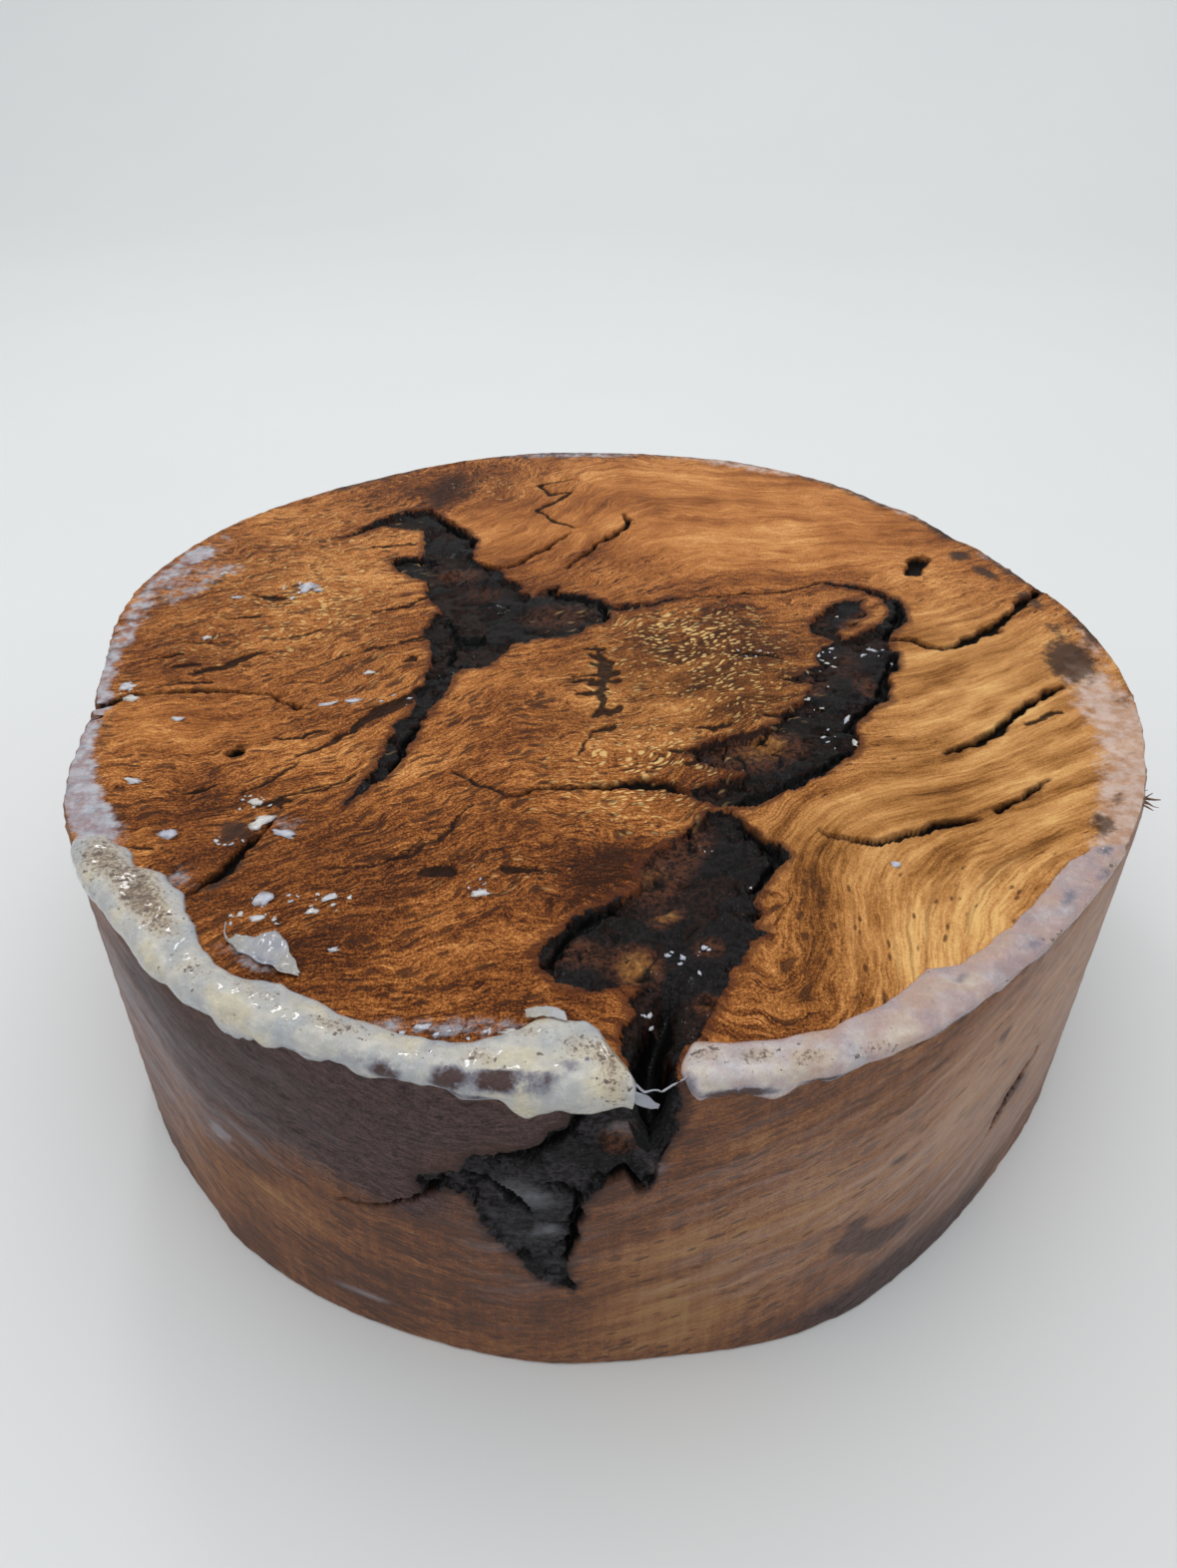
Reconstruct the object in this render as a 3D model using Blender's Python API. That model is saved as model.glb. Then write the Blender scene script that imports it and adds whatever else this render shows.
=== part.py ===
"""Burl bowl blank: a round slab sawn from a burl, with gum pockets, cracks and sealing wax on its front rim.

Frame: metres, +Z up. The slab lies on its sawn bottom at z = 0, and the split, gum-filled side faces -Y.
The origin is the middle of the whole blank, wax included, at the bottom.
Outlines on the top are drawn in millimetres from the slab's own centre, x to the right and y to the back.
Outlines on the side are drawn as (degrees round from +X, millimetres above the bottom).
"""
import math

import bmesh
import bpy
import numpy as np
from mathutils import Vector

MM = 0.001

# The slab
BLANK_HEIGHT = 98.9 * MM
BROKEN_EDGE = 1.0 * MM
EDGE_SEGMENTS = 2
EDGE_ROUNDNESS = 0.6
SLICE_ANGLE = 1.5
SIDE_UNROLL_RADIUS = 151.0 * MM
WOOD_COLOUR = (0.36, 0.15, 0.055)
WOOD_ROUGHNESS = 0.42
SHARP_ANGLE = 35.0

# Radius of the sawn rim in millimetres at angles in degrees: nearly round, flatter on the left, with
# three small steps on the right where the saw was turned
RIM_POINTS = [
    (-175, 139.6), (-166.6, 138.4), (-160, 141.3), (-151, 146.9), (-141, 149.5), (-131, 151.2), (-126, 153.6),
    (-116, 154.5), (-105, 154.7), (-94, 155.5), (-82.5, 154.0), (-73, 155.0), (-66, 154.3), (-58.6, 151.3),
    (-48, 148.3), (-41, 147.5), (-27, 147.8), (-19, 147.0), (-4.3, 147.5), (11.4, 146.9), (15.5, 146.6),
    (17.5, 144.4), (26, 144.6), (31, 145.6), (33, 143.6), (38, 146.3), (44, 148.9), (46, 147.2), (54, 151.8),
    (63, 153.6), (71, 155.1), (79, 153.9), (92, 153.8), (99, 154.9), (112, 153.1), (125, 151.0), (136, 151.8),
    (147, 152.8), (157.5, 151.1), (165, 149.8), (174, 145.3), (179, 142.2),
]
RIM_SOFTENING = (-1.5, -0.75, 0.0, 0.75, 1.5)

# Gum pockets in the top, each sunk a little below the sawn face
POCKET_DEPTH = 1.6 * MM
GUM_UPPER_LEFT = [
    (-60, 99), (-53.8, 89), (-48, 82.6), (-42.2, 75), (-41.2, 70), (-42.5, 64), (-41.5, 58.5), (-38.5, 55),
    (-33, 52.8), (-31, 48), (-29, 44.5), (-25.3, 42.5), (-24, 36.5), (-21, 34), (-16.5, 40.5), (-13, 41.5),
    (-12.5, 36), (-8.2, 36.2), (-3.6, 35.3), (0, 32.2), (2.2, 29.2), (10, 29), (15, 30.5), (23, 34.3),
    (23, 33.2), (15, 28.6), (9.5, 26.2), (3, 25.8), (2.6, 23), (4, 20), (0, 17.4), (-4.6, 14.9), (-6.1, 11.8),
    (-9.2, 9.3), (-14.8, 8.3), (-20, 7), (-25, 5), (-28, -1.5), (-30.5, -7.5), (-38.5, -9), (-40.5, -13),
    (-41.5, -20), (-44, -29), (-46.5, -36), (-47.3, -45), (-50, -56), (-54, -63), (-59, -72), (-60.5, -71.5),
    (-57.5, -62), (-55, -54), (-54, -45), (-53, -37), (-49, -29), (-50, -21), (-48, -13), (-47.5, -5),
    (-49.5, 4), (-52, 10), (-50.5, 18.5), (-48.5, 25), (-52, 30), (-54, 36), (-54.5, 43), (-59.5, 45.5),
    (-65.4, 50.3), (-68.5, 57), (-67.5, 59.6), (-58.5, 60.5), (-59.2, 66), (-59.6, 73.5), (-60.4, 81),
    (-70, 82.3), (-75.8, 83.5), (-82.5, 77), (-88, 73), (-88.5, 74), (-83, 79.5), (-77.9, 88), (-70.4, 96),
]
GUM_RIGHT = [
    (69, 45.8), (77, 45.3), (84.5, 42.3), (90.5, 37.5), (93.5, 30), (91.5, 20.5), (86, 13), (83.5, 8.5),
    (85.2, 2), (85.4, -2.5), (82.3, -7.3), (80, -11.5), (79.2, -18), (79, -22.2), (74, -26.4), (69.8, -30.5),
    (67, -37), (67.4, -44.6), (63.2, -48.7), (59.9, -52.9), (53.2, -57.9), (47.4, -62.8), (41, -67),
    (36.5, -70.5), (30, -70.7), (24, -68), (22, -63.5), (30, -60.5), (38, -56.5), (27, -53.5), (22, -48),
    (30, -42), (41, -40), (46, -34.5), (50.8, -28), (55.7, -21.4), (58.5, -16), (54.5, -12.5), (57, -9),
    (62, -4.5), (62.2, 1.8), (66.5, 7), (68.2, 9.3), (62.6, 13.5), (62.2, 18), (66.3, 24.5), (70.7, 30.3),
    (74, 33), (80.2, 34.5), (80.2, 30), (81, 24.4), (76.5, 19.2), (70.2, 14.3), (70.9, 9), (74.8, 11.8),
    (79.5, 15.8), (84.8, 20.5), (87, 24), (88.3, 28), (87.3, 34.5), (83, 39.5), (77, 43), (69, 44.2),
]
GUM_LOWER = [
    (26.5, -71.8), (31.5, -71.8), (34, -77), (37.5, -81.5), (42, -84.5), (44, -88.5), (41.5, -92), (37, -97.5),
    (34, -103), (35.5, -107.5), (33, -111.5), (36.5, -113), (32, -116.5), (30.5, -120.7), (27.2, -125.6),
    (24, -133), (21, -139.5), (17, -144), (15.5, -150), (15, -162), (7, -162), (6, -148), (4.5, -142.5),
    (7, -138), (7, -133), (9.5, -129.5), (6, -128.5), (1, -130), (-4, -130), (-8.7, -127.2), (-12.8, -120.7),
    (-9.5, -116), (-4.6, -109.3), (3.6, -103.6), (10, -99.5), (9, -95.5), (10.5, -91), (15.8, -85.3),
    (22.3, -78.3),
]
# Small open pits in the top, deeper than the gum
PIT_DEPTH = 3.0 * MM
PITS = {
    "pit_back_right": [(97, 52), (99.5, 58), (101.5, 64), (107, 66.5), (108.5, 62), (105, 58), (102, 51.5)],
    "pit_left": [(-94, -52), (-91.5, -48.5), (-88.5, -49), (-89.5, -51.5), (-92.5, -53)],
    "pit_front_left": [(-90, -80), (-89.5, -75), (-86.5, -73), (-83, -75), (-82.5, -79), (-85, -81.5)],
    "void_upper_left": [(-41, 12), (-36, 12.5), (-33.5, 9), (-34.5, 4.5), (-38.5, 4), (-40.5, 7)],
}
# Cracks in the top: (x, y, half width)
TOP_CRACKS = {
    "crack_right_back": [
        (83.5, 9.5, .7), (88, 11, .9), (91.5, 10, 1), (95, 6.5, 1.2), (99, 5.5, 1.3), (103, 6.5, 1.3),
        (107.5, 10.5, 1.5), (112, 14, 1.8), (117, 17.5, 2), (121, 22.5, 1.6), (125.5, 28, 1.5), (130, 34, 1.5),
        (137, 41, .8)],
    "crack_right_middle": [
        (88, -47.5, .5), (93, -44.5, 1), (99, -41, 1.2), (104, -36.5, 1.5), (107.5, -32, 1.3),
        (111.5, -27.5, 1.2), (117, -23, 1.1), (123, -17.5, 1), (127.5, -15, .5)],
    "crack_right_front": [
        (51.5, -79, .3), (56, -81.5, .6), (62, -82.8, 1), (68, -81.5, 1), (75, -78.5, 1.1), (82, -75.5, 1.2),
        (89.5, -74, .7)],
    "crack_right_rim": [(95, -70.5, 1.1), (99, -67.5, .8), (103, -65, .6), (107, -61.5, .7), (111, -58, .3)],
    "crack_centre": [
        (-22, -68, .3), (-15.2, -65.2, .6), (-8.7, -63.2, 1), (-4, -63.4, .9), (1, -63.2, 1), (6, -62.3, 1.3),
        (12, -61.7, 1.8), (17, -62.2, 1.3), (21.5, -63.6, .5)],
    "crack_from_gum": [
        (-38.5, 56, .8), (-34, 53, .9), (-29, 54, .9), (-25, 59, .8), (-20, 66, .7), (-15, 73, .7),
        (-11, 80, .4)],
    "crack_curl": [
        (-11, 54, .3), (-8, 59, .6), (-5, 64, .6), (-2, 71, .6), (3, 77, .8), (8, 84, 1), (9.5, 91, .9),
        (7.5, 96, .4)],
    "bark_seam": [
        (-4, 6, .5), (0, 1, 1.6), (2, -5, 2), (1, -12, 1.8), (0, -18, 1.4), (2, -25, 1.6), (3, -31, 1.3),
        (0, -38, .5)],
    "crack_left_rim": [
        (-142, -38, 1.2), (-131, -29, 1.1), (-126, -25, .9), (-119, -23, .7), (-110, -22.7, .8),
        (-103.5, -22.3, .7), (-97, -23, .5), (-90.5, -23, .6), (-85.5, -27, .5), (-81, -30, .7), (-77, -31, .3)],
    "crack_left_blotch": [
        (-94, 0, .4), (-99.5, -4.8, 1.4), (-105, -10.6, 1.8), (-107.7, -15.6, 1.8), (-107, -20, .8)],
    "vein_front_left": [
        (-76, -76.5, .4), (-77, -79.5, .8), (-80.3, -87, 1.2), (-82.8, -93.6, 2.4), (-86.2, -100.2, 1.1),
        (-89.5, -104, .4)],
    "branch_of_tail": [(-53, -26, .9), (-58, -31, 1.6), (-62, -35, 1.6), (-64.6, -41, .6)],
    "branch_upper": [(-52.5, 34, .9), (-58.8, 27.1, .8), (-64, 24.5, .7), (-69, 23, .3)],
    "branch_lower": [(-51.5, 8.5, .7), (-57.5, 5, .6), (-64, 1, .3)],
}
# Open gaps along and between the blocks of gum, deeper than the pockets they lie in
GUM_GAPS = {
    "gap_head": [(-57, 92, 1), (-51, 84, 1.4), (-45.5, 77.5, 1.4), (-43, 71, .7)],
    "gap_lobe": [(-66, 58, .8), (-58, 58.6, 1), (-51, 58.3, .6)],
    "gap_body": [
        (-45.5, 21, .8), (-43, 15, 1), (-41.5, 8, 1.2), (-42.5, 1, 1), (-42.5, -4, 1), (-39.5, -8, .6)],
    "gap_tail": [(-47, -38, .6), (-49.5, -44, 1.2), (-49.8, -51, 1), (-52.5, -58, .5)],
    "gap_arm_top": [
        (-16.2, 38.8, .7), (-12.4, 34.6, 1), (-4, 33.4, 1.1), (.4, 29.6, 1.2), (1.2, 24, 1), (1.5, 20.5, .9)],
    "gap_hook": [(91, 33, .8), (91, 27, 1.2), (88.5, 19, 1.2), (84, 13, 1)],
    "gap_right_edge": [
        (83.8, 2, 1), (83.8, -2.5, 1.2), (80.6, -8.5, 1.4), (78, -15, 1.6), (77, -20.6, 1.5),
        (72.6, -25.6, 1.5), (68, -30.5, 1.3), (65.4, -37, 1.1)],
    "gap_right_foot": [
        (65, -44.5, .9), (61, -49.2, 1.4), (54, -55.4, 1.7), (47, -60.6, 1.9), (40, -65.2, 1.9), (34, -68.6, 1.4)],
    "gap_lower_edge": [(33, -76.5, .8), (38.5, -83.4, 1), (41.6, -88.4, 1.5), (38.4, -93, 1.3), (34.4, -99.5, 1)],
    "gap_lobe_edge": [(-9.6, -121.4, .8), (-6.2, -115.8, 1.2), (-1.8, -110.2, 1.3), (4.6, -106.2, .8)],
}
CRACK_DEPTH_PER_HALF_WIDTH = 1.7
CRACK_LEAST_DEPTH = 1.2 * MM
CRACK_MOUTH_FLARE = 1.25
CRACK_FOOT_SHARE = 0.3

# The split at the front rim, open through the edge and down to the gum in the side
SPLIT = [(17, -127, 1.5, 3), (14, -133, 2.4, 5), (11.5, -140, 3, 8), (10.6, -148, 3.4, 12), (10.8, -164, 3.6, 14)]

# Gum on the side, below the split: an arrowhead with a long arm to the left and a tip that points down
SIDE_POCKET_DEPTH = 2.0 * MM
GUM_SIDE = [
    (-109.7, 47.8), (-105.5, 52), (-102.4, 58.5), (-100.3, 63), (-99.1, 61.7), (-98.5, 55.3), (-97.6, 48.9),
    (-95.2, 42.6), (-93.9, 36.2), (-91.2, 31.4), (-91.8, 40.9), (-91.2, 52.1), (-90.6, 63.3), (-89.1, 70.5),
    (-85.5, 76.1), (-84.2, 84.1), (-83.8, 92), (-84, 97), (-88.5, 97), (-90.3, 95), (-91.8, 88.9),
    (-93, 85.7), (-94.5, 80.9), (-97, 78.5), (-98.8, 76.1), (-100, 70.5), (-103.6, 67.8), (-106, 70.5),
    (-106.7, 61.7), (-109.4, 52.1),
]
# Cracks and holes in the side: (degrees, height, half width). Those at the back go on from veins in the top.
SIDE_CRACKS = {
    "side_gap_right": [(-92.6, 69, .5), (-91, 66, .9), (-91.3, 55, 1), (-92, 43, .8)],
    "side_gap_middle": [(-99.8, 69.6, .5), (-97.6, 67.5, .8), (-96, 63, .8), (-94.6, 59, .4)],
    "side_gap_upper": [(-98.4, 75.4, .5), (-95, 78, 1), (-92.6, 83, 1.1), (-91, 90, .9)],
    "side_hole_upper": [(-88.8, 71.5, .8), (-87.6, 74.5, 1.9), (-86.4, 76, 1)],
    "side_hole_right": [(-50, 36, .7), (-48.6, 40, 1.8), (-47, 44, 1.9), (-45.2, 47.5, 1.3), (-44, 49.5, .5)],
    "side_crack_left": [(-164.5, 101, 1.1), (-164.8, 90, 1), (-166, 78, .8), (-165.4, 66, .6), (-166.5, 55, .3)],
    "side_crack_right": [(16.6, 101, .9), (17, 92, 1), (15.6, 81, .9), (16.4, 70, .6), (15.4, 60, .3)],
    "side_vein_back": [(111, 101, .8), (109, 88, 1.6), (110.5, 73, 2.4), (108, 58, 2), (109.4, 44, 1.1),
                       (108, 31, .4)],
    "side_crack_back": [(58, 22, .3), (61, 31, .9), (63, 42, 1.2), (66.5, 52, .8), (68, 60, .3)],
}
BOTTOM_CRACKS = {
    "bottom_vein": [(-64, 88, .4), (-56, 70, 1.4), (-49, 52, 2), (-46, 30, 2.2), (-48, 8, 1.6), (-52, -14, 1.2),
                    (-50, -36, .4)],
    "bottom_crack": [(58, 30, .3), (68, 14, 1), (76, -6, 1.5), (72, -28, 1.2), (60, -46, .4)],
}

# Sealing wax on the rim. Each station: degrees round, lap onto the top, hang down the side, thickness, in mm
SEAT_GAP = 0.3 * MM
WAX_STEP = 1.5
WAX_ROUGHNESS = 0.3
LEFT_WAX_COLOUR = (0.78, 0.75, 0.66)
RIGHT_WAX_COLOUR = (0.74, 0.66, 0.64)
# Lumps along a run: share of the thickness, waves in radians per degree, start
WAX_LUMPS = [(0.16, 1.9, 0.0), (0.1, 4.3, 1.0)]
# Up the side from the foot: share of the hang, share of the thickness outwards, and how far that droops
WAX_SIDE_PROFILE = [(1.0, 0.35, 0.1), (0.7, 0.75, 0.0)]
# Round the rim: shares of the thickness outwards and upwards, and of the broken edge downwards
WAX_SHOULDER = 0.85
WAX_SHOULDER_DROP = 0.8
WAX_CORNER = 0.45
# Over the top, from the rim inwards: share of the lap, share of the thickness
WAX_TOP_PROFILE = [(0.25, 0.9), (0.6, 1.0), (0.88, 0.75), (1.0, 0.3)]
WAX_LEFT = [
    (-144, 3.5, 0.8, 1.2), (-142.5, 8.6, 2.4, 1.9), (-139.5, 10.6, 3.4, 2.2), (-136.5, 12, 3.2, 2.3),
    (-133.5, 14, 3.4, 2.3), (-130.5, 13.6, 3.8, 2.3), (-127.5, 12.8, 4.2, 2.3), (-124.5, 10, 4.6, 2.2),
    (-121.5, 7.4, 4.8, 2), (-118.5, 8, 6.2, 2.1), (-115.5, 10.5, 7.2, 2.2), (-112.5, 9.2, 4.4, 2),
    (-109.5, 8.8, 3.6, 2), (-105, 8, 3.4, 1.9), (-102, 7.6, 3.4, 2), (-99, 9.4, 3.8, 2.1),
    (-96, 13.6, 4.6, 2.3), (-94.5, 16.6, 5.2, 2.4), (-91.5, 16.3, 5.6, 2.4), (-90, 15.8, 5.4, 2.3),
    (-88.5, 12.4, 4.8, 2), (-87, 6, 3.6, 1.6),
]
WAX_RIGHT = [
    (-84, 7.2, 3.4, 1.9), (-82.5, 9.4, 4.2, 2.2), (-79.5, 8.8, 3.8, 2), (-76.5, 8.6, 3.2, 1.8),
    (-72, 8.4, 3, 1.7), (-69, 10.8, 2.6, 1.8), (-64.5, 11, 2.4, 1.7), (-61.5, 12.2, 2.2, 1.6),
    (-58.5, 8.8, 2, 1.5), (-54, 8, 1.9, 1.4), (-49.5, 7.4, 1.7, 1.2), (-43.5, 8, 1.5, 1.1),
    (-39, 8.4, 1.4, 1), (-36, 7.4, 1.2, .9), (-34.5, 4, 0.8, .7),
]

# Cutters stand out of the surface by this much. Those round the side are sliced to bend with it, at planes
# that stay off the slab's own facet lines.
CUTTER_RISE = 2.5 * MM
SLICE_SHIFT = 0.25
SLICE_REACH = 0.01 * MM
CUTTER_COLOUR = (0.1, 0.1, 0.1)
CUTTER_ROUGHNESS = 0.5


def rim_radius(degrees):
    """Radius of the sawn rim, with the corners of its flats softened."""
    angles, radii = zip(*RIM_POINTS)
    near = [np.interp(degrees + step, angles, radii, period=360.0) for step in RIM_SOFTENING]
    return float(sum(near)) / len(near) * MM


def rim_point(degrees, outward, height):
    """Point at an angle, a distance outside the rim and a height."""
    turn = math.radians(degrees)
    radius = rim_radius(degrees) + outward
    return Vector((radius * math.cos(turn), radius * math.sin(turn), height))


def onto_top(across, along, depth):
    return Vector((across, along, BLANK_HEIGHT - depth))


def onto_bottom(across, along, depth):
    return Vector((across, along, depth))


def onto_side(across, height, depth):
    """Wraps a flat drawing round the side: across is the distance round at the unrolling radius."""
    return rim_point(math.degrees(across / SIDE_UNROLL_RADIUS), -depth, height)


def top_drawing(points):
    return [(x * MM, y * MM) for x, y, *_ in points]


def side_drawing(points):
    return [(math.radians(degrees) * SIDE_UNROLL_RADIUS, height * MM) for degrees, height, *_ in points]


def new_object(name, shape, colour, roughness):
    mesh = bpy.data.meshes.new(name)
    shape.to_mesh(mesh)
    shape.free()
    piece = bpy.data.objects.new(name, mesh)
    bpy.context.scene.collection.objects.link(piece)
    material = bpy.data.materials.new(name)
    material.use_nodes = True
    surface = material.node_tree.nodes["Principled BSDF"]
    surface.inputs["Base Color"].default_value = (*colour, 1.0)
    surface.inputs["Roughness"].default_value = roughness
    surface.inputs["Metallic"].default_value = 0.0
    mesh.materials.append(material)
    return piece


def sawn_slab():
    """The slab: its sawn outline pulled up to its height, with both edges broken."""
    shape = bmesh.new()
    steps = round(360 / SLICE_ANGLE)
    ring = [shape.verts.new(rim_point(-180 + SLICE_ANGLE * step, 0.0, 0.0)) for step in range(steps)]
    bottom = shape.faces.new(ring)
    pulled = bmesh.ops.extrude_face_region(shape, geom=[bottom])["geom"]
    lifted = [item for item in pulled if isinstance(item, bmesh.types.BMVert)]
    bmesh.ops.translate(shape, verts=lifted, vec=(0.0, 0.0, BLANK_HEIGHT))
    level_edges = [edge for edge in shape.edges if abs(edge.verts[0].co.z - edge.verts[1].co.z) < BROKEN_EDGE]
    bmesh.ops.bevel(
        shape, geom=level_edges, offset=BROKEN_EDGE, segments=EDGE_SEGMENTS, profile=EDGE_ROUNDNESS, affect="EDGES")
    bmesh.ops.recalc_face_normals(shape, faces=shape.faces)
    return shape


def wrapped(shape, place):
    """Moves a cutter, drawn flat with z as the height above the surface, onto that surface."""
    for vertex in shape.verts:
        vertex.co = place(vertex.co.x, vertex.co.y, -vertex.co.z)
    bmesh.ops.recalc_face_normals(shape, faces=shape.faces)
    if shape.calc_volume(signed=True) < 0.0:
        bmesh.ops.reverse_faces(shape, faces=shape.faces)
    return shape


def pocket_cutter(outline, depth, place):
    """Cuts a pocket with upright walls. Across the curved side it is sliced, so that it bends with the rim."""
    shape = bmesh.new()
    floor = shape.faces.new([shape.verts.new((x, y, -depth)) for x, y in outline])
    pulled = bmesh.ops.extrude_face_region(shape, geom=[floor])["geom"]
    lifted = [item for item in pulled if isinstance(item, bmesh.types.BMVert)]
    bmesh.ops.translate(shape, verts=lifted, vec=(0.0, 0.0, depth + CUTTER_RISE))
    if place is onto_side:
        slice_width = math.radians(2 * SLICE_ANGLE) * SIDE_UNROLL_RADIUS
        first = math.floor(min(x for x, y in outline) / slice_width)
        last = math.ceil(max(x for x, y in outline) / slice_width)
        for number in range(first, last):
            whole = shape.verts[:] + shape.edges[:] + shape.faces[:]
            bmesh.ops.bisect_plane(
                shape, geom=whole, dist=SLICE_REACH,
                plane_co=((number + SLICE_SHIFT) * slice_width, 0.0, 0.0), plane_no=(1.0, 0.0, 0.0))
        bmesh.ops.triangulate(shape, faces=shape.faces[:])
    return wrapped(shape, place)


def crack_cutter(route, widths, depths, place):
    """Cuts a crack: a narrow wedge along a route, wide at the surface and thin at its foot."""
    shape = bmesh.new()
    rings = []
    for number, (here, width, depth) in enumerate(zip(route, widths, depths)):
        before = Vector(route[max(number - 1, 0)])
        after = Vector(route[min(number + 1, len(route) - 1)])
        along = (after - before).normalized()
        across = Vector((-along.y, along.x))
        corners = [(CRACK_MOUTH_FLARE, CUTTER_RISE), (-CRACK_MOUTH_FLARE, CUTTER_RISE),
                   (-CRACK_FOOT_SHARE, -depth), (CRACK_FOOT_SHARE, -depth)]
        rings.append([
            shape.verts.new((here[0] + across.x * width * side, here[1] + across.y * width * side, height))
            for side, height in corners])
    for ring, following in zip(rings, rings[1:]):
        for corner in range(4):
            nearby = (corner + 1) % 4
            shape.faces.new((ring[corner], ring[nearby], following[nearby], following[corner]))
    shape.faces.new(rings[0])
    shape.faces.new(rings[-1][::-1])
    return wrapped(shape, place)


def carve(piece, name, cutter_shape):
    """Takes a cutter's shape out of a piece. The cutter stays as a wire guide."""
    cutter = new_object(name, cutter_shape, CUTTER_COLOUR, CUTTER_ROUGHNESS)
    cutter.hide_render = True
    cutter.display_type = "WIRE"
    cut = piece.modifiers.new(name, "BOOLEAN")
    cut.operation = "DIFFERENCE"
    cut.solver = "EXACT"
    cut.object = cutter


def carve_crack(piece, name, route, drawing, place):
    widths = [half_width * MM for _, _, half_width in route]
    depths = [CRACK_LEAST_DEPTH + CRACK_DEPTH_PER_HALF_WIDTH * width for width in widths]
    carve(piece, name, crack_cutter(drawing(route), widths, depths, place))


def make_wood():
    wood = new_object("burl_blank", sawn_slab(), WOOD_COLOUR, WOOD_ROUGHNESS)
    for name, outline in (("upper_left", GUM_UPPER_LEFT), ("right", GUM_RIGHT), ("lower", GUM_LOWER)):
        carve(wood, "pocket_" + name, pocket_cutter(top_drawing(outline), POCKET_DEPTH, onto_top))
    carve(wood, "pocket_side", pocket_cutter(side_drawing(GUM_SIDE), SIDE_POCKET_DEPTH, onto_side))
    for name, outline in PITS.items():
        carve(wood, name, pocket_cutter(top_drawing(outline), PIT_DEPTH, onto_top))
    for name, route in (TOP_CRACKS | GUM_GAPS).items():
        carve_crack(wood, name, route, top_drawing, onto_top)
    for name, route in SIDE_CRACKS.items():
        carve_crack(wood, name, route, side_drawing, onto_side)
    for name, route in BOTTOM_CRACKS.items():
        carve_crack(wood, name, route, top_drawing, onto_bottom)
    widths = [half_width * MM for _, _, half_width, _ in SPLIT]
    depths = [depth * MM for _, _, _, depth in SPLIT]
    carve(wood, "split", crack_cutter(top_drawing(SPLIT), widths, depths, onto_top))
    return wood


def wax_section(degrees, lap, hang, thickness):
    """One cross-section of a wax run: it lies on the top, turns over the rim and hangs down the side."""
    lumps = sum(share * math.sin(degrees * waves + start) for share, waves, start in WAX_LUMPS)
    crest = thickness * (1.0 + lumps)
    top = BLANK_HEIGHT + SEAT_GAP
    edge = BLANK_HEIGHT - BROKEN_EDGE
    profile = [(-lap, top), (SEAT_GAP, top), (SEAT_GAP, edge - hang)]
    for down, outwards, droop in WAX_SIDE_PROFILE:
        profile.append((SEAT_GAP + outwards * crest, edge - down * hang - droop * crest))
    profile.append((SEAT_GAP + WAX_SHOULDER * crest, BLANK_HEIGHT - WAX_SHOULDER_DROP * BROKEN_EDGE))
    profile.append((SEAT_GAP + WAX_CORNER * crest, top + WAX_CORNER * crest))
    for inwards, upwards in WAX_TOP_PROFILE:
        profile.append((-inwards * lap, top + upwards * crest))
    return [rim_point(degrees, outward, height) for outward, height in profile]


def make_wax(name, stations, colour, roughness):
    """A run of wax, lofted through its stations along the rim and closed at both ends."""
    shape = bmesh.new()
    angles, laps, hangs, thicknesses = (np.array(column, dtype=float) for column in zip(*stations))
    steps = round((angles[-1] - angles[0]) / WAX_STEP)
    rings = []
    for step in range(steps + 1):
        degrees = angles[0] + WAX_STEP * step
        sizes = [float(np.interp(degrees, angles, column)) * MM for column in (laps, hangs, thicknesses)]
        rings.append([shape.verts.new(point) for point in wax_section(degrees, *sizes)])
    corners = len(rings[0])
    for ring, following in zip(rings, rings[1:]):
        for corner in range(corners):
            nearby = (corner + 1) % corners
            shape.faces.new((ring[corner], ring[nearby], following[nearby], following[corner]))
    shape.faces.new(rings[0][::-1])
    shape.faces.new(rings[-1])
    bmesh.ops.triangulate(shape, faces=shape.faces[:])
    bmesh.ops.recalc_face_normals(shape, faces=shape.faces)
    return new_object(name, shape, colour, roughness)


def stand_on_origin(pieces):
    """Moves everything so that the middle of the finished pieces' box is over the origin."""
    corners = [vertex.co for piece in pieces for vertex in piece.data.vertices]
    middle = [(min(co[axis] for co in corners) + max(co[axis] for co in corners)) / 2 for axis in (0, 1)]
    for item in bpy.data.objects:
        for vertex in item.data.vertices:
            vertex.co -= Vector((middle[0], middle[1], 0.0))


for leftover in list(bpy.data.objects):
    bpy.data.objects.remove(leftover)
burl = make_wood()
left_wax = make_wax("rim_wax_left", WAX_LEFT, LEFT_WAX_COLOUR, WAX_ROUGHNESS)
right_wax = make_wax("rim_wax_right", WAX_RIGHT, RIGHT_WAX_COLOUR, WAX_ROUGHNESS)
stand_on_origin([burl, left_wax, right_wax])
for rounded in (burl, left_wax, right_wax):
    rounded.data.shade_smooth()
    rounded.data.set_sharp_from_angle(angle=math.radians(SHARP_ANGLE))
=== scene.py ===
"""Looks of the burl bowl blank: figured wood, black gum, sealing wax on the rim, a pale floor and the camera."""
import math

import bpy
import numpy as np
from mathutils import Matrix, Vector


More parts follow.
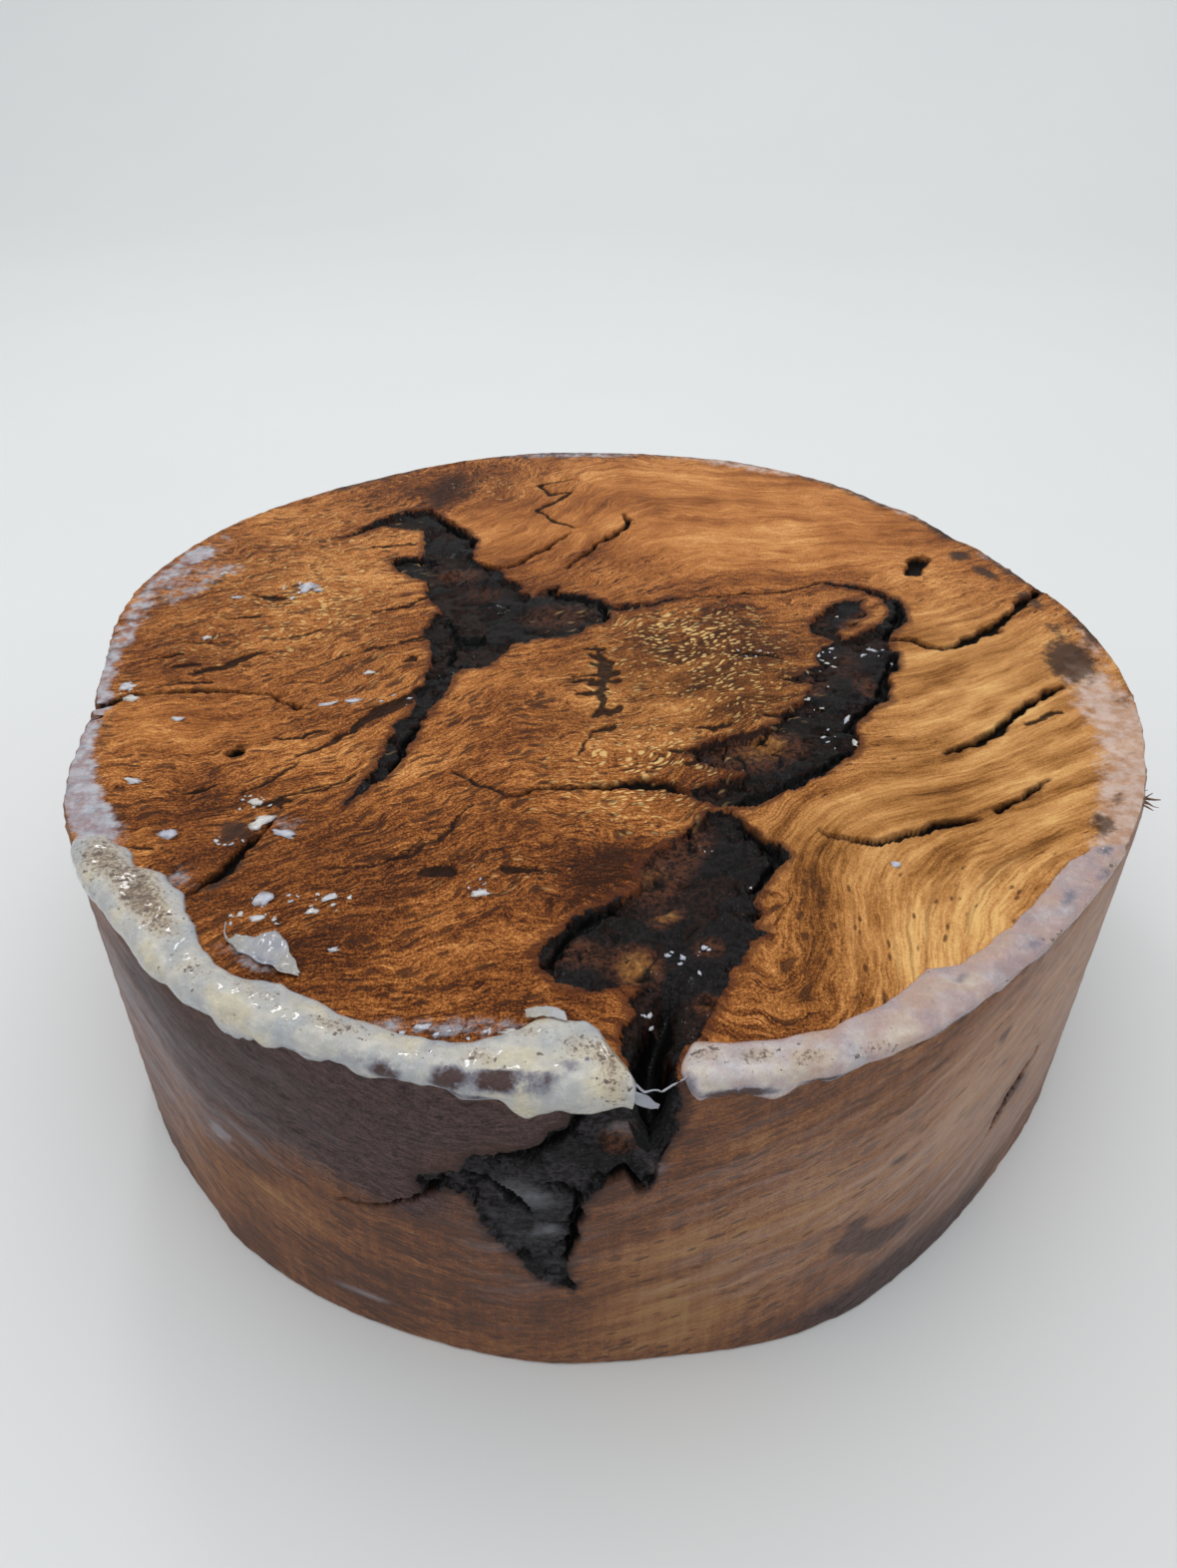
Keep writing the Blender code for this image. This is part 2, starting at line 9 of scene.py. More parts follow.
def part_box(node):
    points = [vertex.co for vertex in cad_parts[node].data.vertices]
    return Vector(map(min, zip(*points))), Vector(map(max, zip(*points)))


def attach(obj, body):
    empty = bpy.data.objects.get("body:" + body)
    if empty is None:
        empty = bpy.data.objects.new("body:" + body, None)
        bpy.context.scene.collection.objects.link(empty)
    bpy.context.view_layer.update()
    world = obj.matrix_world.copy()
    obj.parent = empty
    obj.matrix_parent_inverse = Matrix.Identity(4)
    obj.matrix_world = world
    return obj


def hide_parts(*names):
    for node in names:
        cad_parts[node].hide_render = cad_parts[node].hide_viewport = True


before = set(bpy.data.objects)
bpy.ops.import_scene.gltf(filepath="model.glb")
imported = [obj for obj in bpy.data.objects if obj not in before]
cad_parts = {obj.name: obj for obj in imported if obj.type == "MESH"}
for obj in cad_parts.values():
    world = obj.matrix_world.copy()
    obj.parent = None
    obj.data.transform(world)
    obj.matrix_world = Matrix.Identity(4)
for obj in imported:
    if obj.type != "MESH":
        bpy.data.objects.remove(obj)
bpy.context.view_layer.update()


# The camera stands in front of the split, well above the slab, and looks down on it. Its place is measured from
# the slab's own centre, so the rim's outline comes first: radii in millimetres at angles in degrees, nearly
# round, with small steps where the saw was turned.
MM = 0.001
BLANK_HEIGHT = 98.9
RIM_POINTS = [
    (-175, 139.6), (-166.6, 138.4), (-160, 141.3), (-151, 146.9), (-141, 149.5), (-131, 151.2), (-126, 153.6),
    (-116, 154.5), (-105, 154.7), (-94, 155.5), (-82.5, 154.0), (-73, 155.0), (-66, 154.3), (-58.6, 151.3),
    (-48, 148.3), (-41, 147.5), (-27, 147.8), (-19, 147.0), (-4.3, 147.5), (11.4, 146.9), (15.5, 146.6),
    (17.5, 144.4), (26, 144.6), (31, 145.6), (33, 143.6), (38, 146.3), (44, 148.9), (46, 147.2), (54, 151.8),
    (63, 153.6), (71, 155.1), (79, 153.9), (92, 153.8), (99, 154.9), (112, 153.1), (125, 151.0), (136, 151.8),
    (147, 152.8), (157.5, 151.1), (165, 149.8), (174, 145.3), (179, 142.2)]
RIM_SOFTENING = (-1.5, -0.75, 0, 0.75, 1.5)
CAMERA_PLACE = (0, -292.1, 271.4)
CAMERA_PITCH, CAMERA_YAW, CAMERA_ROLL = 36.909, 0.576, 0.44
FOCAL_PIXELS, FRAME_PIXELS, SENSOR = 1180.8, 1572, 36.0


def rim_radius(degrees):
    """Radius of the sawn rim in millimetres, with the corners of its flats softened."""
    angles, radii = np.array(RIM_POINTS).T
    return sum(np.interp(degrees + step, angles, radii, period=360) for step in RIM_SOFTENING) / len(RIM_SOFTENING)


round_angles = np.arange(-180, 180, 1.5)
rim_x = rim_radius(round_angles) * np.cos(np.radians(round_angles))
rim_y = rim_radius(round_angles) * np.sin(np.radians(round_angles))
wood_low, wood_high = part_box("burl_blank")
SLAB_MIDDLE = np.array([
    (rim_x.max() + rim_x.min() - (wood_high.x + wood_low.x) / MM) / 2, rim_y.max() - wood_high.y / MM, 0])


def in_place(points):
    """Points in millimetres from the slab's own centre, turned into metres in the model's frame."""
    return (np.asarray(points, float) - SLAB_MIDDLE) * MM


pitch, yaw, roll = (math.radians(angle) for angle in (CAMERA_PITCH, CAMERA_YAW, CAMERA_ROLL))
turn = Matrix.Rotation(yaw, 3, "Z")
ahead = turn @ Vector((0, math.cos(pitch), -math.sin(pitch)))
sideways = turn @ Vector((1, 0, 0))
upwards = sideways.cross(ahead)
level = math.cos(roll) * sideways + math.sin(roll) * upwards
upright = math.cos(roll) * upwards - math.sin(roll) * sideways
bpy.ops.object.camera_add()
camera = bpy.context.object
camera.name = "camera"
axes = Matrix((level, upright, -ahead)).transposed().to_4x4()
camera.matrix_world = Matrix.Translation(Vector(in_place(CAMERA_PLACE))) @ axes
camera.data.sensor_width = SENSOR
camera.data.lens = FOCAL_PIXELS / FRAME_PIXELS * SENSOR
camera.data.clip_start = 0.01
bpy.context.scene.camera = camera
bpy.context.scene.view_settings.view_transform = "Standard"


# The wood: one slab sawn nearly round from a burl and sanded on top, with the gum that grew in its pockets.
# Gum, pits and cracks lie below the sanded face. Outlines are in millimetres from the slab's centre, or on the
# side in degrees round and height; routes end with a half width at each point.
EDGE = 1.0
UNROLL_RADIUS = 151.0
GRID = 112
SIDE_ROWS = 34
GUM_TOP = [
    [(-60, 99), (-53.8, 89), (-48, 82.6), (-42.2, 75), (-41.2, 70), (-42.5, 64), (-41.5, 58.5), (-38.5, 55),
        (-33, 52.8), (-31, 48), (-29, 44.5), (-25.3, 42.5), (-24, 36.5), (-21, 34), (-16.5, 40.5),
        (-13, 41.5), (-12.5, 36), (-8.2, 36.2), (-3.6, 35.3), (0, 32.2), (2.2, 29.2), (10, 29), (15, 30.5),
        (23, 34.3), (23, 33.2), (15, 28.6), (9.5, 26.2), (3, 25.8), (2.6, 23), (4, 20), (0, 17.4),
        (-4.6, 14.9), (-6.1, 11.8), (-9.2, 9.3), (-14.8, 8.3), (-20, 7), (-25, 5), (-28, -1.5), (-30.5, -7.5),
        (-38.5, -9), (-40.5, -13), (-41.5, -20), (-44, -29), (-46.5, -36), (-47.3, -45), (-50, -56),
        (-54, -63), (-59, -72), (-60.5, -71.5), (-57.5, -62), (-55, -54), (-54, -45), (-53, -37), (-49, -29),
        (-50, -21), (-48, -13), (-47.5, -5), (-49.5, 4), (-52, 10), (-50.5, 18.5), (-48.5, 25), (-52, 30),
        (-54, 36), (-54.5, 43), (-59.5, 45.5), (-65.4, 50.3), (-68.5, 57), (-67.5, 59.6), (-58.5, 60.5),
        (-59.2, 66), (-59.6, 73.5), (-60.4, 81), (-70, 82.3), (-75.8, 83.5), (-82.5, 77), (-88, 73),
        (-88.5, 74), (-83, 79.5), (-77.9, 88), (-70.4, 96)],
    [(69, 45.8), (77, 45.3), (84.5, 42.3), (90.5, 37.5), (93.5, 30), (91.5, 20.5), (86, 13), (83.5, 8.5),
        (85.2, 2), (85.4, -2.5), (82.3, -7.3), (80, -11.5), (79.2, -18), (79, -22.2), (74, -26.4),
        (69.8, -30.5), (67, -37), (67.4, -44.6), (63.2, -48.7), (59.9, -52.9), (53.2, -57.9), (47.4, -62.8),
        (41, -67), (36.5, -70.5), (30, -70.7), (24, -68), (22, -63.5), (30, -60.5), (38, -56.5), (27, -53.5),
        (22, -48), (30, -42), (41, -40), (46, -34.5), (50.8, -28), (55.7, -21.4), (58.5, -16), (54.5, -12.5),
        (57, -9), (62, -4.5), (62.2, 1.8), (66.5, 7), (68.2, 9.3), (62.6, 13.5), (62.2, 18), (66.3, 24.5),
        (70.7, 30.3), (74, 33), (80.2, 34.5), (80.2, 30), (81, 24.4), (76.5, 19.2), (70.2, 14.3), (70.9, 9),
        (74.8, 11.8), (79.5, 15.8), (84.8, 20.5), (87, 24), (88.3, 28), (87.3, 34.5), (83, 39.5), (77, 43),
        (69, 44.2)],
    [(26.5, -71.8), (31.5, -71.8), (34, -77), (37.5, -81.5), (42, -84.5), (44, -88.5), (41.5, -92),
        (37, -97.5), (34, -103), (35.5, -107.5), (33, -111.5), (36.5, -113), (32, -116.5), (30.5, -120.7),
        (27.2, -125.6), (24, -133), (21, -139.5), (17, -144), (15.5, -150), (15, -162), (7, -162), (6, -148),
        (4.5, -142.5), (7, -138), (7, -133), (9.5, -129.5), (6, -128.5), (1, -130), (-4, -130),
        (-8.7, -127.2), (-12.8, -120.7), (-9.5, -116), (-4.6, -109.3), (3.6, -103.6), (10, -99.5), (9, -95.5),
        (10.5, -91), (15.8, -85.3), (22.3, -78.3)]]
GUM_SIDE = [
    (-103.2, 60.5), (-100.3, 63), (-99.1, 61.7), (-98.5, 55.3), (-97.6, 48.9), (-95.2, 42.6), (-93.9, 36.2),
    (-91.2, 31.4), (-91.8, 40.9), (-91.2, 52.1), (-90.6, 63.3), (-89.1, 70.5), (-85.5, 76.1), (-84.2, 84.1),
    (-83.8, 92), (-84, 101), (-90.3, 101), (-91.8, 88.9), (-93, 85.7), (-94.5, 80.9), (-97, 78.5),
    (-98.8, 76.1), (-100, 70.5), (-103.2, 66.8)]
# Open pits and cracks in the top, gaps between blocks of gum, and cracks in the side and the bottom
PITS = [
    [(97, 52), (99.5, 58), (101.5, 64), (107, 66.5), (108.5, 62), (105, 58), (102, 51.5)],
    [(-94, -52), (-91.5, -48.5), (-88.5, -49), (-89.5, -51.5), (-92.5, -53)],
    [(-41, 12), (-36, 12.5), (-33.5, 9), (-34.5, 4.5), (-38.5, 4), (-40.5, 7)]]
TOP_CRACKS = [
    [(83.5, 9.5, .7), (88, 11, .9), (91.5, 10, 1), (95, 6.5, 1.2), (99, 5.5, 1.3), (103, 6.5, 1.3),
        (107.5, 10.5, 1.5), (112, 14, 1.8), (117, 17.5, 2), (121, 22.5, 1.6), (125.5, 28, 1.5),
        (130, 34, 1.5), (137, 41, .8)],
    [(88, -47.5, .5), (93, -44.5, 1), (99, -41, 1.2), (104, -36.5, 1.5), (107.5, -32, 1.3),
        (111.5, -27.5, 1.2), (117, -23, 1.1), (123, -17.5, 1), (127.5, -15, .5)],
    [(51.5, -79, .3), (56, -81.5, .6), (62, -82.8, 1), (68, -81.5, 1), (75, -78.5, 1.1), (82, -75.5, 1.2),
        (89.5, -74, .7)],
    [(95, -70.5, 1.1), (99, -67.5, .8), (103, -65, .6), (107, -61.5, .7), (111, -58, .3)],
    [(-22, -68, .3), (-15.2, -65.2, .6), (-8.7, -63.2, 1), (-4, -63.4, .9), (1, -63.2, 1), (6, -62.3, 1.9),
        (12, -61.7, 2.3), (17, -61.8, 1.7), (19.2, -64, .8), (23, -66, .4)],
    [(-38.5, 56, .8), (-34, 53, .9), (-29, 54, .9), (-25, 59, .8), (-20, 66, .7), (-15, 73, .7),
        (-11, 80, .4)],
    [(-11, 54, .3), (-8, 59, .6), (-5, 64, .6), (-2, 71, .6), (3, 77, .8), (8, 84, 1), (9.5, 91, .9),
        (7.5, 96, .4)],
    [(-89, -104.5, .3), (-85.4, -99.9, .8), (-82.8, -96.2, 2), (-80.6, -91, 1.3), (-78.4, -84.3, .8),
        (-77, -78.7, .4)],
    [(-142, -38, 1.2), (-131, -29, 1.1), (-126, -25, .9), (-119, -23, .7), (-110, -22.7, .8),
        (-103.5, -22.3, .7), (-97, -23, .5), (-90.5, -23, .6), (-85.5, -27, .5), (-81, -30, .7),
        (-77, -31, .3)]]
GUM_GAPS = [
    [(-57, 92, 1), (-51, 84, 1.4), (-45.5, 77.5, 1.4), (-43, 71, .7)],
    [(-66, 58, .8), (-58, 58.6, 1), (-51, 58.3, .6)],
    [(-45.5, 21, .8), (-43, 15, 1), (-41.5, 8, 1.2), (-42.5, 1, 1), (-42.5, -4, 1), (-39.5, -8, .6)],
    [(-47, -38, .6), (-49.5, -44, 1.2), (-49.8, -51, 1), (-52.5, -58, .5)],
    [(-16.2, 38.8, .7), (-12.4, 34.6, 1), (-4, 33.4, 1.1), (.4, 29.6, 1.2), (1.2, 24, 1), (1.5, 20.5, .9)],
    [(91, 33, .8), (91, 27, 1.2), (88.5, 19, 1.2), (84, 13, 1)],
    [(83.8, 2, 1), (83.8, -2.5, 1.2), (80.6, -8.5, 1.4), (78, -15, 1.6), (77, -20.6, 1.5), (72.6, -25.6, 1.5),
        (68, -30.5, 1.3), (65.4, -37, 1.1)],
    [(65, -44.5, .9), (61, -49.2, 1.4), (54, -55.4, 1.7), (47, -60.6, 1.9), (40, -65.2, 1.9),
        (34, -68.6, 1.4)],
    [(33, -76.5, .8), (38.5, -83.4, 1), (41.6, -88.4, 1.5), (38.4, -93, 1.3), (34.4, -99.5, 1)],
    [(-9.6, -121.4, .8), (-6.2, -115.8, 1.2), (-1.8, -110.2, 1.3), (4.6, -106.2, .8)]]
SIDE_CRACKS = [
    [(-92.6, 69, .5), (-91, 66, .9), (-91.3, 55, 1), (-92, 43, .8)],
    [(-111, 48.5, .2), (-106.5, 51.5, .5), (-103.8, 56.5, .6), (-102.2, 62, .8), (-101, 66, .5)],
    [(-99.8, 69.6, .5), (-97.6, 67.5, .8), (-96, 63, .8), (-94.6, 59, .4)],
    [(-98.4, 75.4, .5), (-95, 78, 1), (-92.6, 83, 1.1), (-91, 90, .9)],
    [(-88.8, 71.5, .8), (-87.6, 74.5, 1.9), (-86.4, 76, 1)],
    [(-50.4, 35, .9), (-48.6, 40, 2.6), (-47, 44, 2.8), (-45.2, 48, 2), (-43.6, 51.5, .7)],
    [(-164.5, 101, 1.1), (-164.8, 90, 1), (-166, 78, .8), (-165.4, 66, .6), (-166.5, 55, .3)],
    [(16.6, 101, .9), (17, 92, 1), (15.6, 81, .9), (16.4, 70, .6), (15.4, 60, .3)],
    [(111, 101, .8), (109, 88, 1.6), (110.5, 73, 2.4), (108, 58, 2), (109.4, 44, 1.1), (108, 31, .4)],
    [(58, 22, .3), (61, 31, .9), (63, 42, 1.2), (66.5, 52, .8), (68, 60, .3)]]
BOTTOM_CRACKS = [
    [(-64, 88, .4), (-56, 70, 1.4), (-49, 52, 2), (-46, 30, 2.2), (-48, 8, 1.6), (-52, -14, 1.2),
        (-50, -36, .4)],
    [(58, 30, .3), (68, 14, 1), (76, -6, 1.5), (72, -28, 1.2), (60, -46, .4)]]
# Dark veins and small marks that only stain the surface
TOP_MARKS = [
    [(0, 1, .7), (1.5, -8, 1.3), (.5, -20, 1), (1, -28, 1)],
    [(-4.3, 2.8, .7), (.5, 2.3, 1.3)],
    [(-2.2, -1.1, .8), (3.2, -4.9, 1.4)],
    [(-2.8, -5, .7), (2.5, -7.5, 1.3)],
    [(-7.3, -12.7, .5), (4.5, -9.9, 1.3)],
    [(-6.9, -15.2, .7), (-2, -14.5, .9)],
    [(-2.6, -15.7, .7), (5.2, -14.9, 1.2)],
    [(-6.1, -21.8, .7), (-2.6, -21.7, 1.5), (1.9, -18.6, .9)],
    [(-1.2, -31.5, 1.2), (2, -30, 1.8), (5.7, -27.9, .9)],
    [(-1.4, -39.3, .8), (3.2, -37.5, 1)],
    [(-2, -40, .2), (-3.5, -44.7, .5), (-5.1, -50.9, .3)],
    [(-94.6, -.3, .3), (-100.9, -5, 1.4), (-105.5, -10.3, 2), (-109.7, -11.9, 1.3), (-114.5, -13.7, .5)],
    [(-79, -71.8, .5), (-76, -71.3, 1.5), (-72.6, -71, .5)],
    [(-55, -5.4, .5), (-52.6, -4, 1.3)],
    [(-122, -11, .3), (-117, -9.5, .9), (-112, -8, .4)],
    [(-119.8, -19.9, .3), (-113, -18.4, .6), (-107, -17.8, .7)],
    [(-75.7, 67.2, .4), (-67.5, 69.2, .8), (-62, 69.6, .7)],
    [(-47, -17, .8), (-51.5, -25, 2.2), (-58.6, -32, 2.4), (-62, -36, 1.6), (-65, -42, .5)],
    [(-52.5, 34, .9), (-58.8, 27.1, .8), (-64, 24.5, .7), (-69, 23, .3)],
    [(-51.5, 8.5, .7), (-57.5, 5, .6), (-64, 1, .3)],
    [(-87, -69, .4), (-81, -63, .6), (-74, -54, .3)],
    [(-83, -45, .4), (-76, -43, .7), (-70, -40, .3)],
    [(-89, -16, .2), (-78, -8, .4), (-67, 1, .4), (-51, 7, .5)],
    [(-60, -95, .3), (-48, -93, .5), (-40, -86, .3)],
    [(-127.3, -6.4, .4), (-122.4, -4.9, .9), (-118.3, -2.9, .4)],
    [(-112.1, 17.3, .4), (-106.7, 18.4, .9), (-101.4, 19.7, .4)],
    [(-107.5, 33.1, .4), (-101.1, 30.9, 1.1), (-93, 30.4, .3)],
    [(-120.7, 3.1, .4), (-115.3, 3.5, .8), (-109.1, 3.4, .4)],
    [(-65, -64, .3), (-71, -65.5, .5), (-77, -70, .5), (-75, -74, .3)],
    [(-100, -69, .4), (-96, -67, .9), (-93, -65, .4)],
    [(-106, -88, .4), (-101, -89, .6)],
    [(-38, -95.5, 1.2), (-33, -95, 1.8), (-31, -95, .8)],
    [(-21, -94, .6), (-17, -94.5, 1.2), (-13, -95, .6)],
    [(-11, 127, .4), (-18, 123, .8), (-23, 120, .9), (-19, 112, .8), (-11, 115, .5)],
    [(-11, 114, .6), (-18, 104, 1), (-23, 98, .8), (-16, 89, .9), (-9, 85, .5)],
    [(23, 34, .5), (45, 37, .4), (60, 40, .4), (69, 45, .6)],
    [(-30, -70, .3), (-34, -80, .5), (-40, -88, .5), (-48, -93, .4), (-60, -98, .3)],
    [(-22, -67, .4), (-30, -62, .7), (-36, -58, .4)],
    [(118, -30, .6), (121, -28, 1.1), (123, -27, .6)],
    [(112, -33, .4), (116, -32, .9), (118, -31, .4)],
    [(38, 1.5, .4), (43, 1, 1.2), (48, 0, .9), (52, -1, .3)],
    [(22.1, -52.3, .8), (27.5, -51.2, .9)],
    [(17.5, -47.3, .4), (21.5, -47.6, .8)],
    [(22.9, -47.2, .7), (28.5, -45, 1.2), (37.9, -40.5, 1.3), (44, -37, .7)],
    [(24, -36, .4), (30, -37, 1), (35, -35, .5)],
    [(44, -30, .4), (49, -31, 1.2), (54, -27, .8)],
    [(50, -12, .6), (55, -13, 1.4), (60, -14, .8)],
    [(-60, -60, .3), (-66, -66, .6), (-72, -67, .6), (-80, -72, .5)],
    [(-64, -41, .9), (-70, -48, .7), (-76, -52, .4)],
    [(-95, 5, .3), (-88, 8, .6), (-80, 12, .3)]]
# Bark left along the rim: degrees, half width, strength
BARK_RIM = [
    (72, 12, .5), (50, 9, .75), (36, 5, .9), (22, 8, .8), (7, 5, .8), (100, 12, .3), (128, 10, .45),
    (150, 8, .4)]
# The split at the front rim
SPLIT = [(17, -127, 0), (14, -133, 0), (11.5, -140, 0), (10.6, -148, 0), (10.8, -164, 0)]
FAR = 14.0
WAVES, WAVE_HEIGHT = 14, 3.7


def ripple(points, size, seed):
    """Smooth seeded unevenness between about -1 and 1, with lumps of about the given size."""
    chance = np.random.default_rng(seed)
    total = np.zeros(len(points))
    for _ in range(WAVES):
        way = chance.normal(size=points.shape[1])
        way *= chance.uniform(0.7, 1.5) / np.linalg.norm(way)
        total += np.sin(points @ way * (2 * math.pi / size) + chance.uniform(0, 2 * math.pi))
    return total / WAVE_HEIGHT


def to_route(points, route):
    """Distance from points to a route less its half width: below nought inside it."""
    route = np.array(route, float)
    nearest = np.full(len(points), FAR)
    low, high = route[:, :2].min(0) - FAR, route[:, :2].max(0) + FAR
    near = np.flatnonzero(((points > low) & (points < high)).all(1))
    here, best = points[near], np.full(len(near), FAR)
    for start, end in zip(route, route[1:]):
        along = end[:2] - start[:2]
        share = np.clip((here - start[:2]) @ along / (along @ along), 0, 1)
        away = np.linalg.norm(here - start[:2] - share[:, None] * along, axis=1)
        best = np.minimum(best, away - (start[2] + share * (end[2] - start[2])))
    nearest[near] = best
    return nearest


def to_outline(points, outline):
    """Distance from points to an outline: below nought inside it."""
    corners = np.array(outline, float)
    closed = np.column_stack([np.vstack([corners, corners[:1]]), np.zeros(len(corners) + 1)])
    away = to_route(points, closed)
    inside = np.zeros(len(points), bool)
    for (x1, y1), (x2, y2) in zip(corners, np.roll(corners, -1, axis=0)):
        if y1 != y2:
            crossing = x1 + (points[:, 1] - y1) / (y2 - y1) * (x2 - x1)
            inside ^= ((points[:, 1] < y1) != (points[:, 1] < y2)) & (points[:, 0] < crossing)
    return np.where(inside, -away, away)


def unrolled(drawing):
    """A drawing on the side, in degrees and height, laid flat in millimetres."""
    return [(math.radians(item[0]) * UNROLL_RADIUS, *item[1:]) for item in drawing]


def vertex_places(piece):
    places = np.empty(len(piece.data.vertices) * 3)
    piece.data.vertices.foreach_get("co", places)
    return places.reshape(-1, 3)


def put_vertices(piece, places):
    piece.data.vertices.foreach_set("co", np.ascontiguousarray(places, dtype=np.float32).ravel())
    piece.data.update()


def new_piece(name, add, **sizes):
    """Adds a primitive with everything else deselected, and names it."""
    bpy.ops.object.select_all(action="DESELECT")
    add(**sizes)
    piece = bpy.context.object
    piece.name = piece.data.name = name
    return piece


def edit(piece, *steps):
    """Runs edit-mode steps on one piece, with everything else deselected."""
    bpy.ops.object.select_all(action="DESELECT")
    piece.select_set(True)
    bpy.context.view_layer.objects.active = piece
    bpy.ops.object.mode_set(mode="EDIT")
    for step in steps:
        step()
    bpy.ops.object.mode_set(mode="OBJECT")


def select_all():
    bpy.ops.mesh.select_all(action="SELECT")


def faces_outwards():
    bpy.ops.mesh.normals_make_consistent(inside=False)


def pick(piece, faces=None, edges=None):
    """Selects just these faces or edges of a piece, by a yes or no for each."""
    for group, chosen in ((piece.data.vertices, None), (piece.data.edges, edges), (piece.data.polygons, faces)):
        group.foreach_set("select", np.zeros(len(group), bool) if chosen is None else chosen)
    bpy.context.tool_settings.mesh_select_mode = (False, edges is not None, faces is not None)


def face_middles(piece):
    middles = np.empty(len(piece.data.polygons) * 3)
    piece.data.polygons.foreach_get("center", middles)
    return middles.reshape(-1, 3)


def open_edges(piece):
    used = np.empty(len(piece.data.loops), int)
    piece.data.loops.foreach_get("edge_index", used)
    return np.bincount(used, minlength=len(piece.data.edges)) == 1


# A square grid is drawn out to the rim, copied down for the bottom, and its border pulled down in rows
wood = new_piece("burl_wood", bpy.ops.mesh.primitive_grid_add, x_subdivisions=GRID, y_subdivisions=GRID, size=2)
square = vertex_places(wood)
reach = np.maximum(np.abs(square[:, 0]), np.abs(square[:, 1]))
wide = np.abs(square[:, 0]) >= np.abs(square[:, 1])
lesser = np.where(wide, square[:, 1], square[:, 0]) / np.where(reach > 0, reach, 1)
quarter = lesser * math.pi / 4
grid_angle = np.where(
    wide, np.where(square[:, 0] >= 0, quarter, math.pi - quarter),
    np.where(square[:, 1] >= 0, math.pi / 2 - quarter, -math.pi / 2 + quarter))
grid_radius = reach * (rim_radius(np.degrees(grid_angle)) - EDGE)
put_vertices(wood, np.column_stack([
    grid_radius * np.cos(grid_angle), grid_radius * np.sin(grid_angle), np.full(len(square), BLANK_HEIGHT)]))
bpy.context.tool_settings.mesh_select_mode = (False, False, True)
edit(wood, select_all,
     lambda: bpy.ops.mesh.duplicate_move(TRANSFORM_OT_translate={"value": (0, 0, -BLANK_HEIGHT)}),
     lambda: bpy.ops.mesh.flip_normals())
edge_ends = np.array([edge.vertices[0] for edge in wood.data.edges])
pick(wood, edges=open_edges(wood) & (vertex_places(wood)[edge_ends, 2] > BLANK_HEIGHT / 2))
EDGE_ROW = 0.3 * EDGE
levels = [BLANK_HEIGHT, BLANK_HEIGHT - EDGE_ROW, BLANK_HEIGHT - EDGE]
levels += list(np.linspace(BLANK_HEIGHT - EDGE, EDGE, SIDE_ROWS + 1)[1:]) + [EDGE_ROW, 0.0]
edit(wood, *[
    lambda drop=lower - upper: bpy.ops.mesh.extrude_region_move(TRANSFORM_OT_translate={"value": (0, 0, drop)})
    for upper, lower in zip(levels, levels[1:])],
     select_all, lambda: bpy.ops.mesh.remove_doubles(threshold=0.01), faces_outwards)


def on_side(places):
    return (places[:, 2] > 0.01) & (places[:, 2] < BLANK_HEIGHT - 0.01)


def laid_flat(places):
    """Where each point lies on the drawings of the top and of the side, and its angle round."""
    angles = np.degrees(np.arctan2(places[:, 1], places[:, 0]))
    return places[:, :2], np.column_stack([np.radians(angles) * UNROLL_RADIUS, places[:, 2]]), angles


def nearest_of(points, shapes, measure):
    return np.min([measure(points, shape) for shape in shapes], axis=0)


def measured(places):
    """Distances to the gum, to the cracks and to the stained marks, in millimetres, below nought inside."""
    flat, side, _ = laid_flat(places)
    wobble = 0.5 * np.column_stack([
        ripple(places, 6.5, seed) + 0.3 * ripple(places, 2.4, seed + 1) for seed in (1, 3)])
    flat, side = flat + wobble, side + wobble
    high, low, walls = places[:, 2] > BLANK_HEIGHT - 2 * EDGE, places[:, 2] < 2 * EDGE, on_side(places)
    gum = np.where(high, nearest_of(flat, GUM_TOP, to_outline), FAR)
    gum = np.minimum(gum, np.where(walls, to_outline(side, unrolled(GUM_SIDE)), FAR))
    open_top = np.minimum(nearest_of(flat, TOP_CRACKS + GUM_GAPS, to_route), nearest_of(flat, PITS, to_outline))
    crack = np.where(high, open_top, FAR)
    crack = np.minimum(crack, np.where(walls, nearest_of(side, [unrolled(c) for c in SIDE_CRACKS], to_route), FAR))
    crack = np.minimum(crack, np.where(low, nearest_of(flat, BOTTOM_CRACKS, to_route), FAR))
    return gum, crack, np.where(high, nearest_of(flat, TOP_MARKS, to_route), FAR)


MARK_SHARE = 0.7
for coarse in (3.2, 1.5):
    gum, crack, mark = measured(face_middles(wood))
    pick(wood, faces=(np.abs(gum) < coarse) | (crack < coarse) | (mark < coarse * MARK_SHARE))
    edit(wood, lambda: bpy.ops.mesh.subdivide(number_cuts=1))
pick(wood, faces=np.array([len(face.vertices) > 4 for face in wood.data.polygons]))
edit(wood, lambda: bpy.ops.mesh.quads_convert_to_tris(ngon_method="BEAUTY"))

# Every point of the side goes out to the sawn rim; both edges are broken
places = vertex_places(wood)
walls = on_side(places)
_, _, angles = laid_flat(places)
to_edge = np.minimum(places[:, 2], BLANK_HEIGHT - places[:, 2])
broken = EDGE * (1 - np.sqrt(np.clip(1 - np.clip(1 - to_edge / EDGE, 0, 1) ** 2, 0, 1)))
wall_radius = rim_radius(angles) - broken
outwards = np.column_stack([np.cos(np.radians(angles)), np.sin(np.radians(angles))])
places[walls, :2] = outwards[walls] * wall_radius[walls, None]
gum, crack, mark = measured(places)
flat, side, angles = laid_flat(places)


def soft_step(value, start, end):
    share = np.clip((value - start) / (end - start), 0, 1)
    return share * share * (3 - 2 * share)


